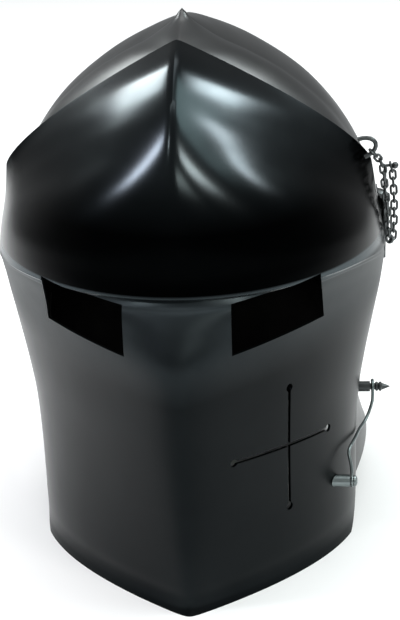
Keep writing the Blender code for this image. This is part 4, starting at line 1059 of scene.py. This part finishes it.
def make_skull_stud():
    """The skull's stud: a collar at the plate, a neck for the hook, ring grooves and a pointed end."""
    plate = skull_outside(SKULL_STUD_Y, SKULL_STUD_Z)
    start = plate + 2 * CLEARANCE
    half_neck = HOOK_WIRE_RADIUS + 0.0005
    neck_low = skull_neck().x - half_neck - start
    neck_high = neck_low + 2 * half_neck
    end = plate + SKULL_STUD_LENGTH - start
    big, small = SKULL_STUD_COLLAR_RADIUS, SKULL_STUD_NECK_RADIUS
    profile = [(0.0, 0.0), (big, 0.0), (big, neck_low), (small, neck_low), (small, neck_high)]
    coils = 2
    coil = 0.0021
    ridge = 0.0011
    for i in range(coils):
        base = neck_high + i * coil
        shares = (0.02, 0.3, 0.7, 0.98)
        profile += [(small + ridge * math.sin(math.pi * a), base + coil * a) for a in shares]
    profile += [(small, neck_high + coils * coil + 0.0003), (0.55 * small, end - 0.0022), (0.0, end)]
    return turned("catch_stud", profile, (start, SKULL_STUD_Y, SKULL_STUD_Z), (1, 0, 0), 32)


def make_visor_stud():
    """The visor's stud: a boss from the plate, a neck for the hook's eye and a domed head."""
    skin = Vector((x_on_face(VISOR_STUD_Y, VISOR_STUD_Z), VISOR_STUD_Y, VISOR_STUD_Z))
    step = 0.001
    aside = Vector((x_on_face(skin.y - step, skin.z), skin.y - step, skin.z)) - skin
    upward = Vector((x_on_face(skin.y, skin.z + step), skin.y, skin.z + step)) - skin
    normal = outward(upward.cross(aside))
    start = skin.x - VISOR_STUD_RADIUS
    half_neck = HOOK_WIRE_RADIUS + CLEARANCE
    neck_low = visor_neck().x - half_neck - start
    neck_high = neck_low + 2 * half_neck
    big, small = VISOR_STUD_RADIUS, VISOR_STUD_NECK_RADIUS
    profile = [(0.0, 0.0), (big, 0.0), (big, neck_low), (small, neck_low), (small, neck_high)]
    profile += dome(big, VISOR_STUD_HEAD, neck_high, 10)
    stud = turned("visor_stud", profile, (start, VISOR_STUD_Y, VISOR_STUD_Z), (1, 0, 0), 48)
    depth = 4 * VISOR_STUD_RADIUS
    reach = 2 * VISOR_STUD_RADIUS
    square = [(-reach, -reach), (reach, -reach), (reach, reach), (-reach, reach)]
    inside = skin + normal * (CLEARANCE - depth / 2)
    flat = frame_at(inside, aside, normal.cross(aside))
    boolean(stud, extruded("visor_stud_foot", square, depth, flat), "DIFFERENCE")
    return stud


def x_on_face(y, z):
    """Distance from the middle to the visor's outer face at this depth and height."""
    lines = [visor_line(row) for row in catmull_rom(FACE_ROWS, 8)]
    row = min(lines, key=lambda line: min(abs(p.z - z) + abs(p.y - y) for p in line if p.x > 0))
    a, b = sorted((p for p in row if p.x > 0), key=lambda p: abs(p.y - y))[:2]
    return a.x + (b.x - a.x) * (y - a.y) / (b.y - a.y)


def make_hook():
    """The catch's wire: an eye round the visor's stud, a bend over the plate's edge and an open end."""
    eye = visor_neck()
    stud = skull_neck()
    eye_radius = VISOR_STUD_NECK_RADIUS + CLEARANCE + HOOK_WIRE_RADIUS
    path = []
    turns = 10
    for i in range(turns + 1):
        a = math.radians(20 - 290 * i / turns)
        path.append(eye + Vector((0.0, eye_radius * math.cos(a), eye_radius * math.sin(a))))
    way = stud - eye
    path += [eye + Vector((way.x * a, way.y * b, way.z * c)) for a, b, c in HOOK_RUN]
    bend_radius = SKULL_STUD_NECK_RADIUS + HOOK_PLAY + HOOK_WIRE_RADIUS
    path.append(stud + Vector((0.0, -bend_radius, -2 * bend_radius)))
    for i in range(7):
        a = math.radians(180 - 132 * i / 6)
        path.append(stud + Vector((0.0, bend_radius * math.cos(a), bend_radius * math.sin(a))))
    return wire("catch_hook", smooth_route(path, 2), HOOK_WIRE_RADIUS, 5)


# Finished pieces


def joined(name, pieces):
    """Several objects as one piece."""
    bm = bmesh.new()
    for piece in pieces:
        bm.from_mesh(applied(piece))
    mesh = bpy.data.meshes.new(name)
    bm.to_mesh(mesh)
    bm.free()
    for piece in pieces:
        bpy.data.objects.remove(piece, do_unlink=True)
    return add_object(name, mesh)


def settle(obj, cad_node, body, finish="fitting_dark", bevel=0.0):
    """Bakes a piece, gives it its finish, and lets it stand for its CAD node on the node's body."""
    if bevel:
        edge = obj.modifiers.new("edge", "BEVEL")
        edge.width = bevel
        edge.segments = 2
        edge.limit_method = "ANGLE"
        edge.angle_limit = math.radians(BEVEL_ANGLE)
        edge.use_clamp_overlap = True
    name = obj.name
    mesh = applied(obj)
    walls = [face.material_index for face in mesh.polygons]
    mesh.materials.clear()
    bpy.data.objects.remove(obj, do_unlink=True)
    piece = add_object(name + "_piece", mesh, finish)
    if any(walls):
        mesh.materials.append(FINISHES["inside_black"])
        mesh.polygons.foreach_set("material_index", walls)
    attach(piece, body)
    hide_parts(cad_node)


# The floor's half width in metres and the dim room
FLOOR_REACH = 12.0
ROOM_COLOUR = (0.95, 0.98, 1.0, 1.0)
ROOM_STRENGTH = 0.35

# Lights, aimed at the brow. Columns: azimuth (0 in front, 90 to the wearer's left) and elevation in degrees,
# distance, width and height in metres, power in watts and colour.
LIGHT_AIM = (0.0, -0.07, 0.26)
LIGHTS = {
    "overhead": (180, 82, 2.0, 2.0, 2.0, 34.0, (1.0, 1.0, 1.0)),
    "left_bank": (-121, 31, 1.6, 0.50, 0.26, 12.0, (0.97, 1.0, 1.0)),
    "left_spot": (-74, 30, 1.6, 0.18, 0.18, 6.5, (0.93, 0.90, 1.0)),
    "right_bank": (114, 39, 1.6, 0.28, 0.20, 8.0, (0.96, 1.0, 1.0)),
    "right_fill": (88, 47, 1.6, 0.75, 0.55, 6.0, (0.82, 1.0, 0.98)),
    "right_spot": (92, 36, 1.5, 0.14, 0.16, 2.6, (1.0, 1.0, 1.0)),
    "ridge_spot": (50, 33, 1.6, 0.26, 0.24, 5.0, (1.0, 0.98, 0.93)),
    "front_glow": (24, 25, 1.6, 0.45, 0.18, 2.2, (1.0, 1.0, 0.93)),
    "ridge_end": (-38, 44, 1.6, 0.16, 0.16, 2.0, (1.0, 1.0, 1.0)),
}


def towards(azimuth, elevation):
    """From the helmet towards a place at these angles in degrees, 0 in front."""
    a, e = math.radians(azimuth), math.radians(elevation)
    return Vector((math.sin(a) * math.cos(e), -math.cos(a) * math.cos(e), math.sin(e)))


def studio():
    """A pale floor, a soft overhead light, banks and spots beside the brow and a dim room."""
    bm = bmesh.new()
    bmesh.ops.create_grid(bm, x_segments=2, y_segments=2, size=FLOOR_REACH)
    floor = add_object("floor", mesh_from("floor", bm), "floor_paper")
    world = bpy.data.worlds.new("room")
    bpy.context.scene.world = world
    world.use_nodes = True
    back = world.node_tree.nodes["Background"]
    back.inputs["Color"].default_value = ROOM_COLOUR
    back.inputs["Strength"].default_value = ROOM_STRENGTH
    for name, (azimuth, elevation, distance, width, height, power, colour) in LIGHTS.items():
        away = towards(azimuth, elevation)
        light = bpy.data.lights.new(name, "AREA")
        light.energy = power
        light.color = colour
        light.shape = "RECTANGLE"
        light.size = width
        light.size_y = height
        obj = bpy.data.objects.new(name, light)
        obj.location = Vector(LIGHT_AIM) + away * distance
        obj.rotation_euler = (-away).to_track_quat("-Z", "Y").to_euler()
        VISUAL.objects.link(obj)


def camera():
    """The photograph's camera: a long lens, a little to the right of the middle and above it."""
    away, roll = towards(CAMERA_AZIMUTH, CAMERA_ELEVATION), math.radians(CAMERA_ROLL)
    level = (-away).cross(Vector((0, 0, 1))).normalized()
    upright = level.cross(-away)
    side = level * math.cos(roll) + upright * math.sin(roll)
    top = upright * math.cos(roll) - level * math.sin(roll)
    data = bpy.data.cameras.new("camera")
    data.sensor_fit = "VERTICAL"
    data.sensor_height = CAMERA_SENSOR
    data.lens = CAMERA_SENSOR * CAMERA_FOCAL_PIXELS / PHOTO_HEIGHT
    data.clip_end = 100.0
    obj = bpy.data.objects.new("camera", data)
    turn = Matrix((side, top, away)).transposed().to_4x4()
    obj.matrix_world = Matrix.Translation(Vector(CAMERA_TARGET) + away * CAMERA_DISTANCE) @ turn
    VISUAL.objects.link(obj)
    bpy.context.scene.camera = obj


VISUAL = bpy.data.collections.new("visual")
HELPERS = bpy.data.collections.new("helpers")
bpy.context.scene.collection.children.link(VISUAL)
bpy.context.scene.collection.children.link(HELPERS)
bpy.context.scene.view_settings.view_transform = "Standard"

# The visor's height bands paint light and shade into its colour. The lower face's colour is cut to a third to a
# half, a painted darkening of its reflection. The bridge between the sights is lightened, painted light. A thin band
# along the brow's lip is lightened 2.6 times, a painted highlight. The brow just above it is darkened to a twentieth
# and comes back to full colour higher up, a painted shade.
steel("visor_black", (0.016, 0.020, 0.022), (0.026, 0.031, 0.033), (0.15, 0.23), 9.0, 0.10,
      [(0.0, 0.13, 0.50), (0.04, 0.13, 0.35), (0.13, 0.13, 0.28), (0.150, 0.24, 0.8), (0.178, 0.28, 1.2),
       (0.1808, 0.10, 2.6), (0.1840, 0.10, 2.6), (0.1846, 0.05, 0.05), (0.215, 0.02, 0.06), (0.232, 0.0, 0.5),
       (0.245, 0.0, 1.0), (0.30, 0.0, 1.0)])
steel("skull_satin", (0.060, 0.062, 0.063), (0.085, 0.087, 0.087), (0.30, 0.42), 12.0, 0.15)
steel("fitting_dark", (0.050, 0.055, 0.056), (0.110, 0.118, 0.120), (0.28, 0.45), 120.0, 0.2)
steel("wire_bright", (0.10, 0.13, 0.13), (0.22, 0.25, 0.25), (0.25, 0.40), 120.0, 0.2)
steel("inside_black", (0.010, 0.010, 0.010), (0.018, 0.017, 0.016), (0.55, 0.75), 40.0, 0.3)
paper("floor_paper")

GROUND = box_cutter("ground", (-2 * REACH, -2 * REACH, -0.3 * HEIGHT), (2 * REACH, 2 * REACH, 0.0))
PIN_HOLE = pin_hole()

settle(make_skull(), "skull", "skull", "skull_satin")
settle(make_visor(), "visor", "visor", "visor_black", VISOR_BEVEL)
settle(pivot(1), "pivot_right", "skull")
settle(pivot(-1), "pivot_left", "skull")
settle(make_right_arm(PIN_HOLE), "arm_right", "visor", bevel=ARM_BEVEL)
settle(make_left_arm(), "arm_left", "visor", bevel=ARM_BEVEL)
settle(make_visor_leaf(PIN_HOLE), "visor_leaf_right", "visor")
settle(make_pin(), "hinge_pin_right", "visor")
settle(make_staple(), "chain_staple_right", "visor")
settle(make_chain(), "pin_chain_right", "visor")
settle(make_skull_stud(), "catch_stud", "skull")
settle(make_visor_stud(), "visor_stud", "visor", "wire_bright")
settle(make_hook(), "catch_hook", "hook", "wire_bright")

for helper in list(HELPERS.objects):
    bpy.data.objects.remove(helper, do_unlink=True)
bpy.data.collections.remove(HELPERS)

studio()
camera()
